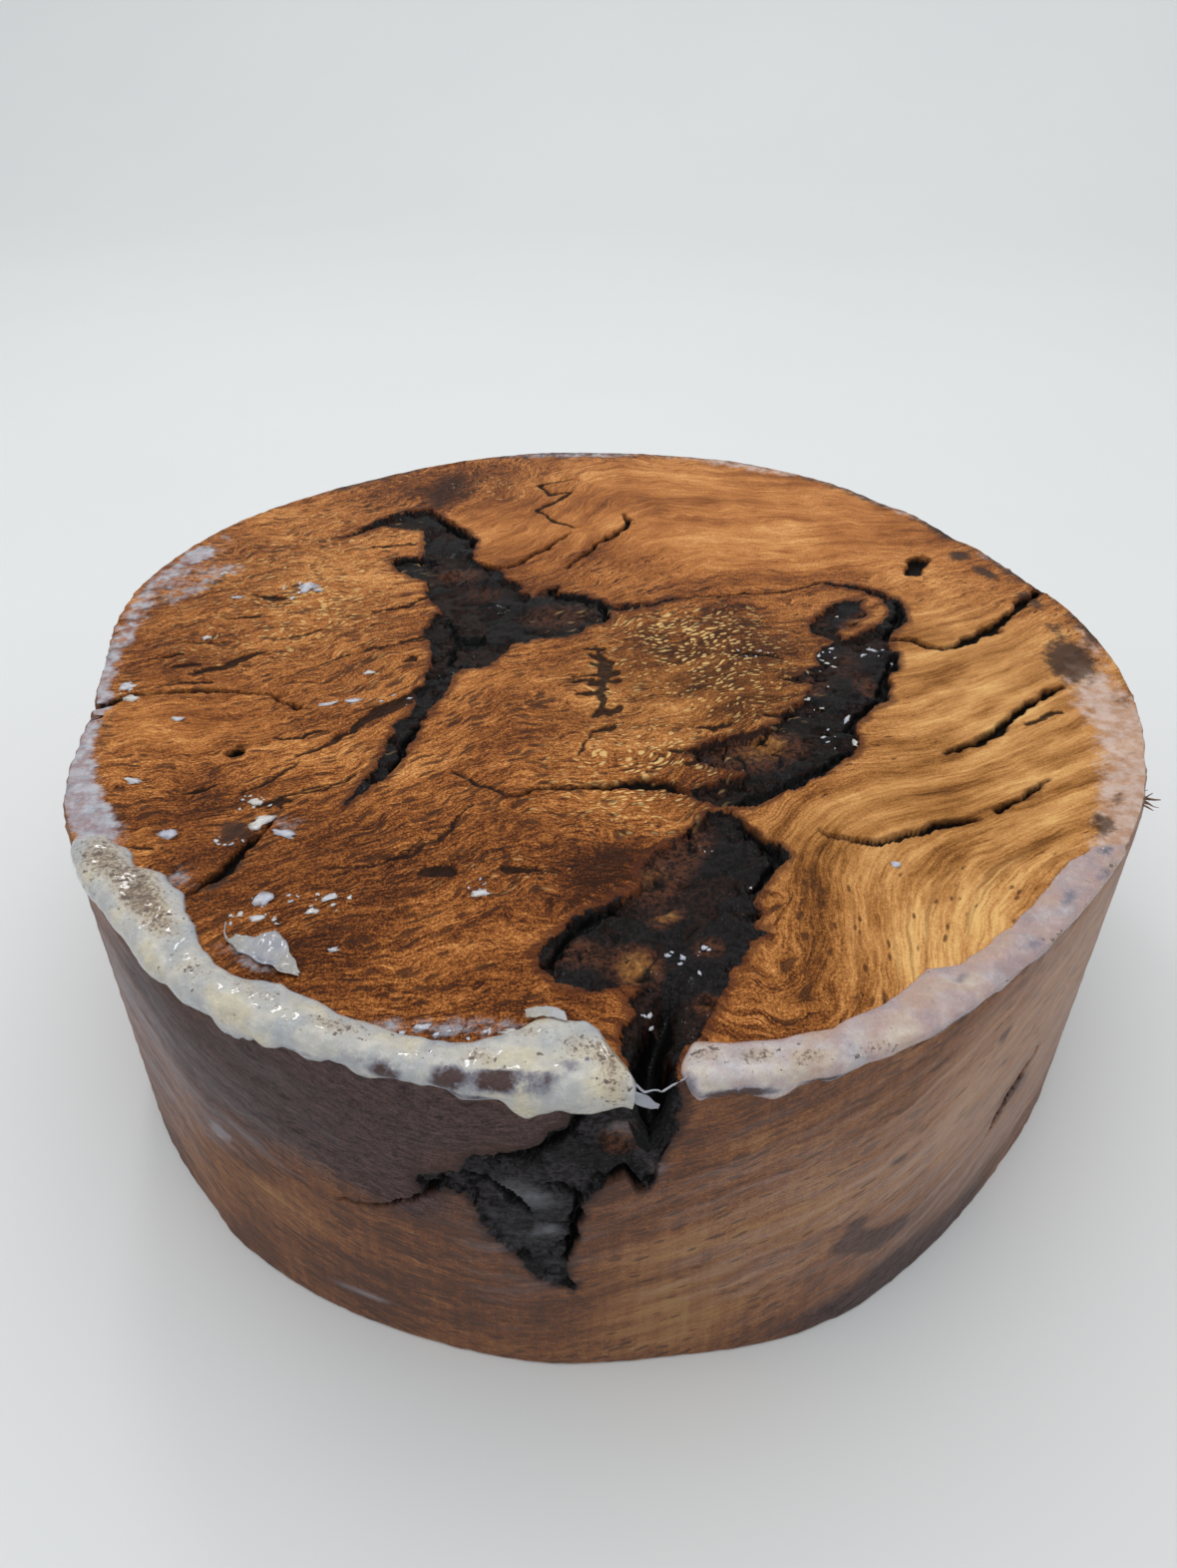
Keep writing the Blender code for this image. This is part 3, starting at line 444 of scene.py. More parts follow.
# Relief in millimetres: blocks of gum lie at different levels with grooves between them, cracks are open,
# marks are dents, and the torn grain is finely uneven
BLOCK_SIZE, BLOCK_JITTER = 10.0, 0.48
GUM_LEVEL, GUM_STEP, GUM_CRUMB, GROOVE_DEPTH, SIDE_SHARE = 0.25, 1.7, 0.12, 1.2, 0.65
CRACK_DEPTH, MARK_DEPTH = 2.8, 0.7
GRAIN_RELIEF = ((0.10, 4.0, 6), (0.05, 1.9, 7))  # height, size, seed
SIDE_ROOM = 0.06
AT_ONCE = 4000
block_chance = np.random.default_rng(11)
block_grid = np.stack(
    np.meshgrid(np.arange(-420, 170, BLOCK_SIZE), np.arange(-170, 170, BLOCK_SIZE)), -1).reshape(-1, 2)
block_grid = block_grid + block_chance.uniform(-BLOCK_JITTER, BLOCK_JITTER, block_grid.shape) * BLOCK_SIZE
block_levels = block_chance.uniform(0, 1, len(block_grid))
spot = np.where(walls[:, None], side, flat)
spot = spot + 1.6 * np.column_stack([ripple(spot, 9, 21), ripple(spot, 9, 22)])
inside_gum = np.flatnonzero(gum < 0.5)
block_level, block_seam = np.zeros(len(places)), np.full(len(places), 9.0)
for start in range(0, len(inside_gum), AT_ONCE):
    some = inside_gum[start:start + AT_ONCE]
    away = np.linalg.norm(spot[some, None] - block_grid[None], axis=2)
    order = np.argpartition(away, 1, axis=1)[:, :2]
    first, second = np.take_along_axis(away, order, axis=1).T
    nearer = np.where(first < second, order[:, 0], order[:, 1])
    block_level[some] = block_levels[nearer]
    block_seam[some] = np.abs(second - first)
depth = GUM_LEVEL + GUM_STEP * block_level + GUM_CRUMB * ripple(places, 3.1, 5)
depth *= soft_step(-gum, -0.1, 0.6)
depth += GROOVE_DEPTH * (1 - soft_step(block_seam, 0.2, 1.2)) * soft_step(-gum, 0, 1)
depth *= np.where(walls, SIDE_SHARE, 1)
depth = np.maximum(depth, CRACK_DEPTH * soft_step(-crack, -0.25, 0.6) + 0.4 * depth)
depth += MARK_DEPTH * soft_step(-mark, -0.3, 0.7)
grain_relief = sum(height * (1 + ripple(places, size, seed)) for height, size, seed in GRAIN_RELIEF)
depth += grain_relief * soft_step(np.abs(gum), 0, 1)
top_face = places[:, 2] > BLANK_HEIGHT - 0.01
bottom_face = places[:, 2] < 0.01
inward = np.where(walls, np.clip(depth, 0, None) + SIDE_ROOM, 0)

# The rim is notched all round, most where bark was left
bark = sum(strength * np.exp(-((angles - degrees) / half) ** 2) for degrees, half, strength in BARK_RIM)
bark = bark * soft_step(np.hypot(flat[:, 0], flat[:, 1]) - wall_radius, -4.5, -1)
notch = 0.35 * soft_step(ripple(places, 11, 8), 0.2, 1.1) + 0.2 * (1 + ripple(places, 3, 9))
notch *= 1 + 2.2 * bark
inward += np.where(walls, notch * (1 - soft_step(BLANK_HEIGHT - places[:, 2], 0.5, 3.5)), 0)
places[:, :2] -= outwards * inward[:, None]
places[:, 2] -= np.where(top_face, depth, 0)
places[:, 2] += np.where(bottom_face, depth * soft_step(crack, 1.5, 0), 0)
places[:, 2] = np.clip(places[:, 2], 0, None)

# The split runs out through the edge, deeper and wider towards it
SPLIT_START, SPLIT_LENGTH, SPLIT_FOOT = -127, 25, 45
split_away = to_route(places[:, :2], SPLIT)
split_share = np.clip((SPLIT_START - places[:, 1]) / SPLIT_LENGTH, 0, 1)
split_half = 1.5 + 2.6 * split_share + 0.5 * ripple(places, 6, 10)
split_depth = (3 + 11 * split_share) * (1 - soft_step(split_away / split_half, 0.15, 1.15)) * (places[:, 1] < -124)
squeeze = np.where(top_face, 1, np.clip((places[:, 2] - SPLIT_FOOT) / (BLANK_HEIGHT - SPLIT_FOOT), 0, 1))
places[:, 2] -= np.where(walls | top_face, split_depth * squeeze, 0)
put_vertices(wood, in_place(places))
wood.data.shade_smooth()

# Grain: short strokes say which way it runs. Smooth coordinates along and across it are fitted to them, so
# that the figure bends round the gum. Each stroke: x, y, direction in degrees.
GRAIN_STROKES = [
    (20, 130, -4), (60, 120, -8), (95, 95, -12), (30, 95, 0), (70, 80, 0), (110, 60, 25), (40, 60, 3),
    (70, 58, 5), (-30, 80, 55), (-30, 110, 70), (-15, 125, 80), (-8, 70, 55), (5, 82, 60), (-110, 60, 22),
    (-80, 100, 45), (-110, 20, 25), (-80, 20, 22), (-125, -5, 30), (-75, 62, 18), (-100, 85, 35),
    (-110, -35, 0), (-82, -40, 20), (-90, -55, 30), (-62, -50, 48), (-110, -65, 20), (-75, -75, 38),
    (-95, -90, 30), (-35, -35, 55), (-20, -25, 35), (-35, -55, 40), (-10, -45, 12), (-25, -10, 30),
    (10, 5, 18), (35, 10, 14), (20, -20, 20), (40, -25, 28), (10, -50, 12), (-5, -70, -4), (15, -75, -8),
    (-20, -80, 12), (-50, -80, 45), (-45, -100, 22), (-70, -105, 35), (-20, -105, 12), (-35, -125, 4),
    (-5, -95, 15), (0, -135, 0), (100, 28, 30), (125, 10, 45), (100, -8, 28), (115, -15, 38), (95, -30, 32),
    (130, -40, 42), (110, -50, 36), (80, -60, 14), (60, -66, 4), (75, -72, 12), (100, -75, 42), (95, -95, 62),
    (60, -110, 80), (80, -100, 70), (50, -130, 82), (42, -105, 88), (48, -85, 70), (70, -90, 66), (30, 50, 2),
    (55, 25, 10)]
HILL_REACH, HILL_STEP, HILL_LIMIT = 30.0, 28.0, 175
FIT_CALM = 0.004
GRAIN_TURN = -25.0
hill_row = np.arange(-168, 169, HILL_STEP)
centres = np.stack(np.meshgrid(hill_row, hill_row), -1).reshape(-1, 2)
centres = centres[np.linalg.norm(centres, axis=1) < HILL_LIMIT]


def hills(points):
    """Heights and slopes of round hills on a grid, whose sum makes any smooth surface."""
    offsets = points[:, None] - centres[None]
    heights = np.exp(-(offsets ** 2).sum(2) / (2 * HILL_REACH ** 2))
    return heights, -offsets / HILL_REACH ** 2 * heights[..., None]


strokes = np.array(GRAIN_STROKES, float)
ways = np.column_stack([np.cos(np.radians(strokes[:, 2])), np.sin(np.radians(strokes[:, 2]))])
crossways = np.column_stack([-ways[:, 1], ways[:, 0]])
_, slopes = hills(strokes[:, :2])


def grain_coordinate(points, wanted_along, wanted_across):
    """A surface over the top that rises as wanted along the strokes and across them."""
    rows = np.vstack([np.hstack([(slopes * way[:, None]).sum(2), way]) for way in (ways, crossways)])
    wanted = np.repeat([wanted_along, wanted_across], len(strokes))
    calm = np.eye(rows.shape[1]) * FIT_CALM
    weights = np.linalg.lstsq(np.vstack([rows, calm]), np.concatenate([wanted, np.zeros(len(calm))]), rcond=None)[0]
    parts = [hills(points[start:start + 2 * AT_ONCE])[0] @ weights[:-2]
             for start in range(0, len(points), 2 * AT_ONCE)]
    return np.concatenate(parts) + points @ weights[-2:]


along, across = grain_coordinate(flat, 1.0, 0.0), grain_coordinate(flat, 0.0, 1.0)
tilted = places[:, 2] - 0.5 * np.hypot(places[:, 0] - GRAIN_TURN, 30) + 0.12 * places[:, 1]
flow = np.where(
    top_face[:, None], np.column_stack([along, np.zeros(len(along)), across]),
    np.column_stack([places[:, 0], places[:, 1], tilted]))

# Areas of the top, and of the side in degrees and height: x, y, half width, half depth, turn in degrees,
# strength
AREAS = {
    # The lighter tone at (50, 95), over the far right of the top, is partly painted sheen of the wet surface
    "tone": [(50, 95, 75, 50, 0, .15), (110, -5, 35, 50, 0, .07), (75, -110, 36, 34, 20, .09),
        (110, -60, 30, 30, 0, .07), (50, -82, 11, 12, 0, -.12), (44, -116, 13, 20, 0, -.17),
        (3, -94, 13, 9, 20, -.28), (-45, -108, 62, 38, 0, -.18), (-25, 40, 20, 14, 0, -.15),
        (-80, -75, 26, 18, 0, -.1), (30, 0, 34, 32, 0, -.29), (80, -114, 24, 24, 20, .16),
        (-95, 60, 40, 40, 0, .08), (-105, -45, 30, 20, 0, .05), (-60, 120, 40, 14, 35, -.16),
        (30, -60, 16, 10, 0, -.1), (-57, 110, 8, 16, -10, -.3), (0, -137, 45, 10, 0, -.06),
        (70, -75, 30, 14, 0, .02), (-25, -40, 22, 26, 0, -.02), (0, -15, 6, 20, 0, .12),
        (-128, 20, 14, 60, 8, -.12), (45, 40, 40, 8, 2, -.1), (-40, 75, 14, 26, 10, .1)],
    # The calm figure at (50, 98), over the far right of the top, is partly painted sheen of the wet surface
    "smooth": [(50, 98, 78, 50, 0, 1), (-32, 80, 16, 34, 12, .6), (110, -5, 36, 46, 0, .55),
        (85, -70, 34, 18, 10, .5), (-110, -38, 26, 14, 0, .5)],
    "gold": [(-13, 23, 13, 7, 0, .5), (32, -8, 30, 32, 0, .9), (1, -16, 6, 20, 0, .6),
        (-88, 62, 36, 40, 0, .75), (-85, 15, 34, 26, 0, .65), (-35, 118, 26, 14, 0, .6),
        (10, -52, 24, 16, 0, .9), (5, -72, 26, 10, 0, .7), (-20, -95, 26, 10, 0, .4),
        (-125, 35, 14, 30, 0, .4), (-60, -20, 14, 12, 0, .4), (-60, -52, 14, 16, 30, .4),
        (20, 20, 34, 14, 0, .6), (-108, -5, 22, 14, 0, .3)],
    "tan": [(108, -15, 42, 50, 0, 1), (75, -110, 40, 38, 0, .85), (95, -65, 36, 26, 0, .9),
        (25, -20, 36, 34, 0, .45), (50, -80, 24, 16, 0, .5)],
    "ray": [(80, -116, 30, 28, 20, 1), (98, -92, 18, 22, 30, .7)],
    "stain": [(-84, -82, 5, 5, 20, .95), (-57, 107, 6, 9, -20, .42), (-82.5, -98, 2.6, 6, -20, .85),
        (-78, -90, 2, 6, -10, .5), (134, -1, 8, 13, -10, 1.2), (141, -22, 3, 5, 0, .7),
        (118, 66, 5, 4, 30, 1), (133, 36, 3, 7, 20, .9), (124, 54, 3, 6, 35, .9), (136, 18, 4, 5, 0, .6),
        (-136, 25, 7, 36, 8, .35), (119, -75.5, 3, 6, -20, .95), (125.5, -65.5, 2, 5, -20, .7),
        (133, -50, 1.6, 3, 0, .7), (-20, 150, 50, 8, 0, .45), (-80, 128, 30, 8, 40, .3),
        (80, 128, 24, 8, -40, .25), (-128, -45, 4, 26, 12, .45)],
    "film_and_sheen": [(-139, 8, 4, 26, 4, .6), (-127, 40, 7, 20, -20, .42), (-132, 60, 4, 5, 0, .7),
        (-134, -34, 3.4, 24, 10, .9), (-127, -62, 4.2, 22, 24, .95), (-117, -80, 5, 14, 40, .95),
        (-133, -29, 3.5, 4, 0, 1), (-137, 45, 5, 16, -10, .55), (-128, 66, 6, 14, -20, .35),
        (58, 143, 48, 7, -20, .85), (-20, 151, 40, 4, 0, .7), (-28, -140, 18, 3, 2, .5),
        (-92, -100, 8, 5, -48, .4), (106, 105, 5, 34, 42, .8), (134, 60, 4, 14, 20, .6),
        (137, -28, 9, 28, 4, .9), (132, -60, 10, 24, -22, .9), (143, 10, 5, 14, 0, .4),
        (126, -76, 7, 18, -34, .8), (114, -96, 7, 20, -40, .75), (-118, 50, 5, 5, 0, .25),
        (-72, -79, 6, 5, 20, .4), (-70, -122, 8, 4, -20, .55), (-66, -27, 7, 3, 20, .35),
        (80, -122, 26, 6, 28, .35), (128, 66, 5, 12, 30, .3)],
    "amber": [(-3.3, -119.5, 7, 5, 20, .42), (8.3, -123, 5.2, 5.4, 0, 1), (15.2, -108.2, 4.4, 2.6, 30, .85),
        (23.3, -117.3, 3.8, 3.2, 0, .5), (17, -89, 10, 9, 30, .4), (11, -98, 7, 6, 20, .42),
        (23, -80, 6, 6, 0, .3), (21.8, -132.4, 3, 2.6, 0, .6), (31, -93, 7, 7, 0, -.3),
        (70, -2, 6, 12, -20, .26), (74, -14, 3, 6, 0, .5), (58, -15, 6, 6, 0, .4), (66, 22, 4, 6, 0, .22),
        (-45, 50, 8, 6, 0, .5), (-36, 38, 8, 5, 0, .3), (77, 20, 4, 8, -36, .8), (84, 30, 3, 5, 0, .7),
        (41, -46, 14, 8, 20, .62), (44, -41, 4, 3, 20, .5), (-13, 23, 14, 8, 10, .38),
        (-20, 38, 4, 4, 0, .5)]}
SIDE_AREAS = {
    "tone": [(-80, 20, 8, 20, 0, .18), (-86, 22, 5, 22, 0, .26), (-75, 45, 14, 30, 0, .14),
        (-60, 66, 14, 24, 0, .16), (-45, 76, 18, 28, 0, .18), (-62, 20, 26, 20, 0, -.18),
        (-120, 35, 8, 10, -20, .16), (-124, 78, 14, 26, 0, -.24), (-100, 78, 14, 16, 0, -.3),
        (-97, 40, 8, 24, 0, -.12), (-108, 24, 12, 18, 0, -.12), (100, 30, 18, 24, 0, .14),
        (45, 70, 16, 20, 0, .12), (150, 40, 14, 20, 0, .1), (70, 20, 14, 14, 0, -.12),
        (10, 60, 16, 24, 0, .1), (-165, 62, 10, 20, 0, .1), (-58, 8, 14, 8, 0, -.3), (-130, 20, 8, 10, 0, .1),
        (-128, 58, 6, 10, 0, .1), (-40, 60, 8, 40, 0, .1)],
    "stain": [(-92.6, 90, 3, 9, 0, 1.3), (-124, 76, 16, 30, 0, .75), (-106, 76, 12, 22, 0, .7),
        (-103, 92, 12, 12, 0, .6), (-105, 58, 4.5, 9, 20, .6), (-68, 40, 1.2, 3, 0, 1.2),
        (-68, 33, 2.4, 4, 0, 1.3), (-64, 28, 3.2, 4.5, 10, 1.5), (-54, 77, 1.2, 2.6, 0, 1.2),
        (-52, 65, 1.2, 2, 0, .9), (-65, 58, 1.2, 2.4, 0, 1), (-60, 6, 15, 9, 6, 1.1), (-85, 6, 14, 3, 0, .3),
        (-130, 82, 3, 5, 0, .5), (-47, 43, 4, 7, 30, .8), (30, 9, 14, 9, 0, .6), (75, 72, 10, 24, 0, .5),
        (98, 60, 6, 16, 10, .5), (140, 84, 14, 18, 0, .6), (158, 8, 16, 8, 0, .5), (120, 20, 4, 8, 0, .8),
        (60, 36, 2.5, 5, 0, .8), (52, 48, 1.6, 3, 0, .7), (-163, 20, 12, 12, 0, .5), (5, 80, 10, 14, 0, .45),
        (-15, 12, 12, 9, 0, .6), (-112, 12, 4, 3, 0, .4), (-118, 6, 14, 4, 0, .3), (-71, 23, 1.4, 3, 0, .6),
        (-62, 14, 3, 3, 0, .5)],
    "tan": [(45, 60, 20, 40, 0, .4), (150, 40, 14, 24, 0, .4), (-10, 50, 14, 40, 0, .3),
        (-84, 25, 7, 24, 0, .6), (-120, 38, 8, 9, 0, .5), (-70, 50, 16, 40, 0, .25)],
    # On the left of the side this skin of wax is partly painted reflection of the pale sky
    "film_and_sheen": [(-64, 50, 28, 60, 0, .48), (-110, 11.5, 3.6, 1.6, 0, .9), (-95.2, 65, 2, 4.5, 20, .4),
        (-85.4, 74, 1, 3, 0, .4), (-93.4, 53, .9, 1.6, 0, .46), (-118, 70, 20, 26, 0, .3),
        (-88, 85.7, 1.3, 2.6, 0, .5), (0, 60, 20, 60, 0, .4), (45, 45, 24, 60, 0, .32),
        (92, 60, 22, 50, 0, .36), (135, 42, 18, 60, 0, .3), (172, 60, 16, 40, 0, .36),
        (-188, 60, 16, 40, 0, .36), (-142, 50, 20, 60, 0, .52), (-35, 60, 22, 60, 0, .72),
        (-98, 30, 8, 30, 0, .2), (-123, 50, 1, 2, 0, .8)],
    "gold": [(-120, 36, 8, 10, 0, .4), (-80, 20, 8, 20, 0, .2)],
    "amber": [(-87.9, 83.2, 1.7, 4.5, 0, .6)]}


def area_strength(points, areas):
    total = np.zeros(len(points))
    for x, y, half_width, half_depth, angle, strength in areas:
        turn = math.radians(angle)
        offsets = points - (x, y)
        wide = (offsets[:, 0] * math.cos(turn) + offsets[:, 1] * math.sin(turn)) / half_width
        deep = (offsets[:, 1] * math.cos(turn) - offsets[:, 0] * math.sin(turn)) / half_depth
        total += strength * np.exp(-(wide ** 2 + deep ** 2) ** 1.3)
    return total


def keep_value(piece, name, values, kind="FLOAT", field="value"):
    """Stores a number or a direction for each vertex, for the material to read."""
    layer = piece.data.attributes.new(name, kind, "POINT")
    layer.data.foreach_set(field, np.ascontiguousarray(values, dtype=np.float32).ravel())


round_side = np.column_stack([angles, places[:, 2]])
for name in AREAS:
    on_top = area_strength(flat, AREAS[name]) + (bark if name == "stain" else 0)
    on_wall = area_strength(round_side, SIDE_AREAS.get(name, []))
    keep_value(wood, name, np.where(top_face, on_top, np.where(walls, on_wall, 0)))
# The split joins the cracks here, so its depth gets the near black of painted shade below
in_split = (split_depth > 1) & (squeeze > 0.8)
crack = np.minimum(crack, np.where(in_split, -0.15 * split_depth, FAR))
for name, values in (("gum", gum), ("crack", crack), ("mark", mark), ("seam", block_seam), ("block", block_level),
                     ("wall", 1.0 - top_face)):
    keep_value(wood, name, values)
keep_value(wood, "flow", flow, "FLOAT_VECTOR", "vector")


class Look:
    """A material or a group in the making: each step adds a node to its tree and hands on what comes out."""

    def __init__(self, tree):
        self.tree = tree

    def give(self, socket, value):
        if isinstance(value, bpy.types.NodeSocket):
            self.tree.links.new(value, socket)
        else:
            socket.default_value = (*value, 1.0) if socket.type == "RGBA" else value

    def put(self, kind, settings=None, **values):
        """Adds a node; values go to its inputs by name or, as i0, i1 and so on, by number."""
        node = self.tree.nodes.new("ShaderNode" + kind)
        for name, value in (settings or {}).items():
            setattr(node, name, value)
        for name, value in values.items():
            self.give(node.inputs[int(name[1:]) if name[1:].isdigit() else name], value)
        return node

    def reckon(self, operation, total, *parts):
        for part in parts:
            total = self.put("Math", {"operation": operation}, i0=total, i1=part).outputs[0]
        return total

    def plus(self, *parts):
        return self.reckon("ADD", *parts)

    def times(self, *parts):
        return self.reckon("MULTIPLY", *parts)

    def minus(self, first, second):
        return self.reckon("SUBTRACT", first, second)

    def swing(self, value, *by):
        """How far a pattern is from its middle, times what follows."""
        return self.times(self.minus(value, 0.5), *by)

    def fade(self, value, start, end, low=0.0, high=1.0):
        """Turns a value between start and end into one between low and high, softly."""
        return self.put("MapRange", {"interpolation_type": "SMOOTHSTEP"},
                        i0=value, i1=start, i2=end, i3=low, i4=high).outputs[0]

    def blend(self, share, first, second):
        return self.put("Mix", {"data_type": "FLOAT"}, i0=share, i2=first, i3=second).outputs[0]

    def mix(self, share, first, second, how="MIX"):
        return self.put("Mix", {"data_type": "RGBA", "blend_type": how, "clamp_factor": True},
                        i0=share, i6=first, i7=second).outputs[2]

    def coats(self, colour, *coats, how="MIX"):
        """Lays coats over a colour, one after the other: each has its share and its own colour."""
        for share, coat in coats:
            colour = self.mix(share, colour, coat, how)
        return colour

    def ramp(self, value, *stops):
        """Colours for a value, from stops in rising order: each has its place and colour."""
        node = self.put("ValToRGB", Fac=value)
        points = node.color_ramp.elements
        for number, (place, colour) in enumerate(stops):
            point = points[number] if number < 2 else points.new(place)
            point.position = place
            point.color = (*colour, 1.0)
        return node.outputs[0]

    def vector(self, operation, first, second):
        return self.put("VectorMath", {"operation": operation}, i0=first, i1=second).outputs[0]

    def millimetres(self):
        return self.vector("MULTIPLY", self.put("TexCoord").outputs["Object"], (1000, 1000, 1000))

    def noise(self, where, scale, detail=3, roughness=0.6, out="Fac"):
        return self.put("TexNoise", Vector=where, Scale=scale, Detail=detail, Roughness=roughness).outputs[out]

    def cells(self, where, scale):
        return self.put("TexVoronoi", Vector=where, Scale=scale).outputs["Distance"]

    def waver(self, where, scale, reach):
        """A push to and fro, of about the given reach."""
        push = self.vector("SUBTRACT", self.noise(where, scale, 2, out="Color"), (0.5, 0.5, 0.5))
        return self.put("VectorMath", {"operation": "SCALE"}, i0=push, Scale=reach).outputs[0]

    def stored(self, name, out="Fac"):
        return self.put("Attribute", {"attribute_type": "GEOMETRY", "attribute_name": name}).outputs[out]

    def bump(self, surface, strength, distance, height):
        relief = self.put("Bump", Strength=strength, Distance=distance, Height=height)
        self.give(surface.inputs["Normal"], relief.outputs[0])


def new_material(name):
    material = bpy.data.materials.new(name)
    material.use_nodes = True
    return material, Look(material.node_tree), material.node_tree.nodes["Principled BSDF"]


wood_finish, look, surface = new_material("figured burl wood")
where = look.millimetres()
gum_at, crack_at, mark_at, tone, smooth, gold, tan, stain, film_and_sheen, amber, ray, wall, seam, block = map(look.stored, (
    "gum", "crack", "mark", "tone", "smooth", "gold", "tan", "stain", "film_and_sheen", "amber", "ray", "wall", "seam", "block"))


def top_or_side(top, side):
    """One number on the top and another on the side."""
    return look.fade(wall, 0, 1, top, side)


def along_grain(pattern, squash, *how):
    """A pattern drawn out along the grain."""
    return pattern(look.vector("MULTIPLY", grain, (squash, squash, 1)), *how)


# Figure: wavy streaks along the grain, broad bands, hairs, veins and curly grains of burl
# Calm figure: quieter burl, and over the far right of the top partly painted sheen
calm = look.times(look.fade(smooth, 0, 0.8, 1, 0.3), look.fade(tan, 0.1, 0.9, 1, 0.36))
bend = look.waver(where, 0.05, look.times(look.fade(tan, 0.1, 0.9, 13, 4.5), top_or_side(1, 0.45)))
twist = look.waver(where, 0.13, look.times(calm, 1.9))
grain = look.vector("ADD", look.vector("ADD", look.stored("flow", "Vector"), bend), twist)
fine = along_grain(look.noise, 0.34, 0.95, 6, 0.8)
band = along_grain(look.noise, 0.16, 0.16, 3, 0.55)
hair = along_grain(look.noise, 0.06, 1.3, 4, 0.7)
vein = along_grain(look.noise, 0.1, 0.42, 4, 0.62)
grit = look.noise(where, 1.8, 4, 0.8)
patchy = look.noise(where, 0.035, 3, 0.6)
saw_marks = look.noise(look.vector("MULTIPLY", where, (1, 1, 0.05)), 0.55, 3, 0.6)
from_vein = look.put("Math", {"operation": "ABSOLUTE"}, i0=look.minus(vein, 0.5)).outputs[0]
veins = look.times(look.fade(from_vein, 0, 0.035, 1, 0), look.fade(look.noise(where, 0.07, 2), 0.4, 0.6))
calm = look.times(calm, top_or_side(1, 0.85))
figure = look.plus(
    look.swing(fine, calm, 1.2), look.times(veins, calm, -0.3),
    look.swing(band, look.plus(look.times(tan, 0.7), look.times(wall, 0.15), 0.75)),
    look.swing(grit, look.plus(look.times(calm, 1.25), 0.45)), look.swing(patchy, 0.8),
    look.swing(hair, look.plus(look.times(ray, 0.5), 0.75)), look.swing(saw_marks, wall, 0.45), tone, 0.48)
red_wood = look.ramp(
    figure, (0.06, (0.03, 0.008, 0.002)), (0.28, (0.145, 0.038, 0.007)), (0.48, (0.33, 0.108, 0.022)),
    (0.68, (0.55, 0.21, 0.055)), (0.95, (0.82, 0.44, 0.155)))
tan_wood = look.ramp(
    figure, (0.06, (0.06, 0.02, 0.004)), (0.28, (0.21, 0.074, 0.012)), (0.48, (0.41, 0.175, 0.044)),
    (0.68, (0.60, 0.285, 0.092)), (0.95, (0.80, 0.48, 0.17)))

# Golden flecks, dark pores, golden dashes and dark streaks lie along the grain
fleck_size = look.times(gold, 0.62, look.noise(where, 0.16, 2))
flecks = look.fade(look.minus(fleck_size, along_grain(look.cells, 0.38, 1)), -0.12, 0.06)
flecks = look.put("Math", {"operation": "MULTIPLY", "use_clamp": True}, i0=flecks, i1=gold).outputs[0]
pore_size = look.minus(0.55, look.plus(look.times(smooth, 0.6), look.times(tan, 0.3)))
pore_size = look.times(pore_size, look.noise(where, 0.1, 2))
pores = look.fade(look.minus(pore_size, along_grain(look.cells, 0.3, 0.5)), -0.08, 0.05)
dash = along_grain(look.cells, 0.32, 0.5)
dashes = look.times(look.fade(dash, 0.2, 0.11), look.fade(gold, 0.15, 0.5, 0, 0.55))
streaks = look.times(look.fade(along_grain(look.noise, 0.04, 0.36, 3, 0.6), 0.47, 0.38), ray, 0.45)
colour = look.coats(
    look.mix(tan, red_wood, tan_wood), (look.times(flecks, 0.8), (0.86, 0.57, 0.22)),
    (look.times(pores, 0.75), (0.05, 0.016, 0.006)), (dashes, (0.74, 0.48, 0.18)), (streaks, (0.15, 0.06, 0.012)))

# Sides were cut with a band saw and sealed thinly, so their colour is duller and greyer. Stains are brown
# black on the top, mottled purple on the side.
dull = look.mix(1, look.mix(0.53, colour, (0.19, 0.125, 0.10)), (0.75, 0.71, 0.71), "MULTIPLY")
mottled = look.fade(look.plus(fine, look.swing(grit, 0.7)), 0.3, 0.7, 0.1, 1)
mottled = look.blend(wall, look.times(look.plus(fine, 0.35), 0.9), mottled)
stained = look.mix(mottled, look.mix(wall, (0.010, 0.005, 0.004), (0.012, 0.009, 0.010)),
                   look.mix(wall, (0.048, 0.026, 0.019), (0.125, 0.082, 0.080)))
stain_edge = look.plus(stain, look.swing(look.noise(where, 0.32, 5, 0.7), top_or_side(1.7, 0.6)))
stain_share = look.fade(stain_edge, 0.25, top_or_side(0.85, 0.95), 0, 0.9)

# Round the gum the wood is soaked dark red, and cracks have dark lips; their near black inside is painted shade.
frayed = look.swing(look.noise(where, 0.5, 4, 0.62), 2)
gum_edge = look.plus(gum_at, frayed, look.swing(fine, 2.2))
mark_edge = look.plus(mark_at, look.times(frayed, 0.55))
crack_edge = look.plus(crack_at, look.times(frayed, 0.42))
colour = look.coats(
    colour, (wall, dull), (stain_share, stained),
    (look.fade(look.plus(gum_edge, look.times(patchy, -2)), -0.4, 1.5, 0.75, 0),
     look.mix(wall, (0.085, 0.022, 0.008), (0.05, 0.030, 0.026))),
    (look.fade(mark_edge, -0.3, 0.45, 0.93, 0), (0.014, 0.006, 0.004)),
    (look.fade(crack_edge, -0.1, 1, top_or_side(0.6, 0.35), 0), (0.06, 0.02, 0.009)),
    # painted shade: near black inside the open cracks, pits, gaps in the gum and the split
    (look.fade(crack_edge, -0.35, 0.2, 1, 0), (0.006, 0.004, 0.003)))
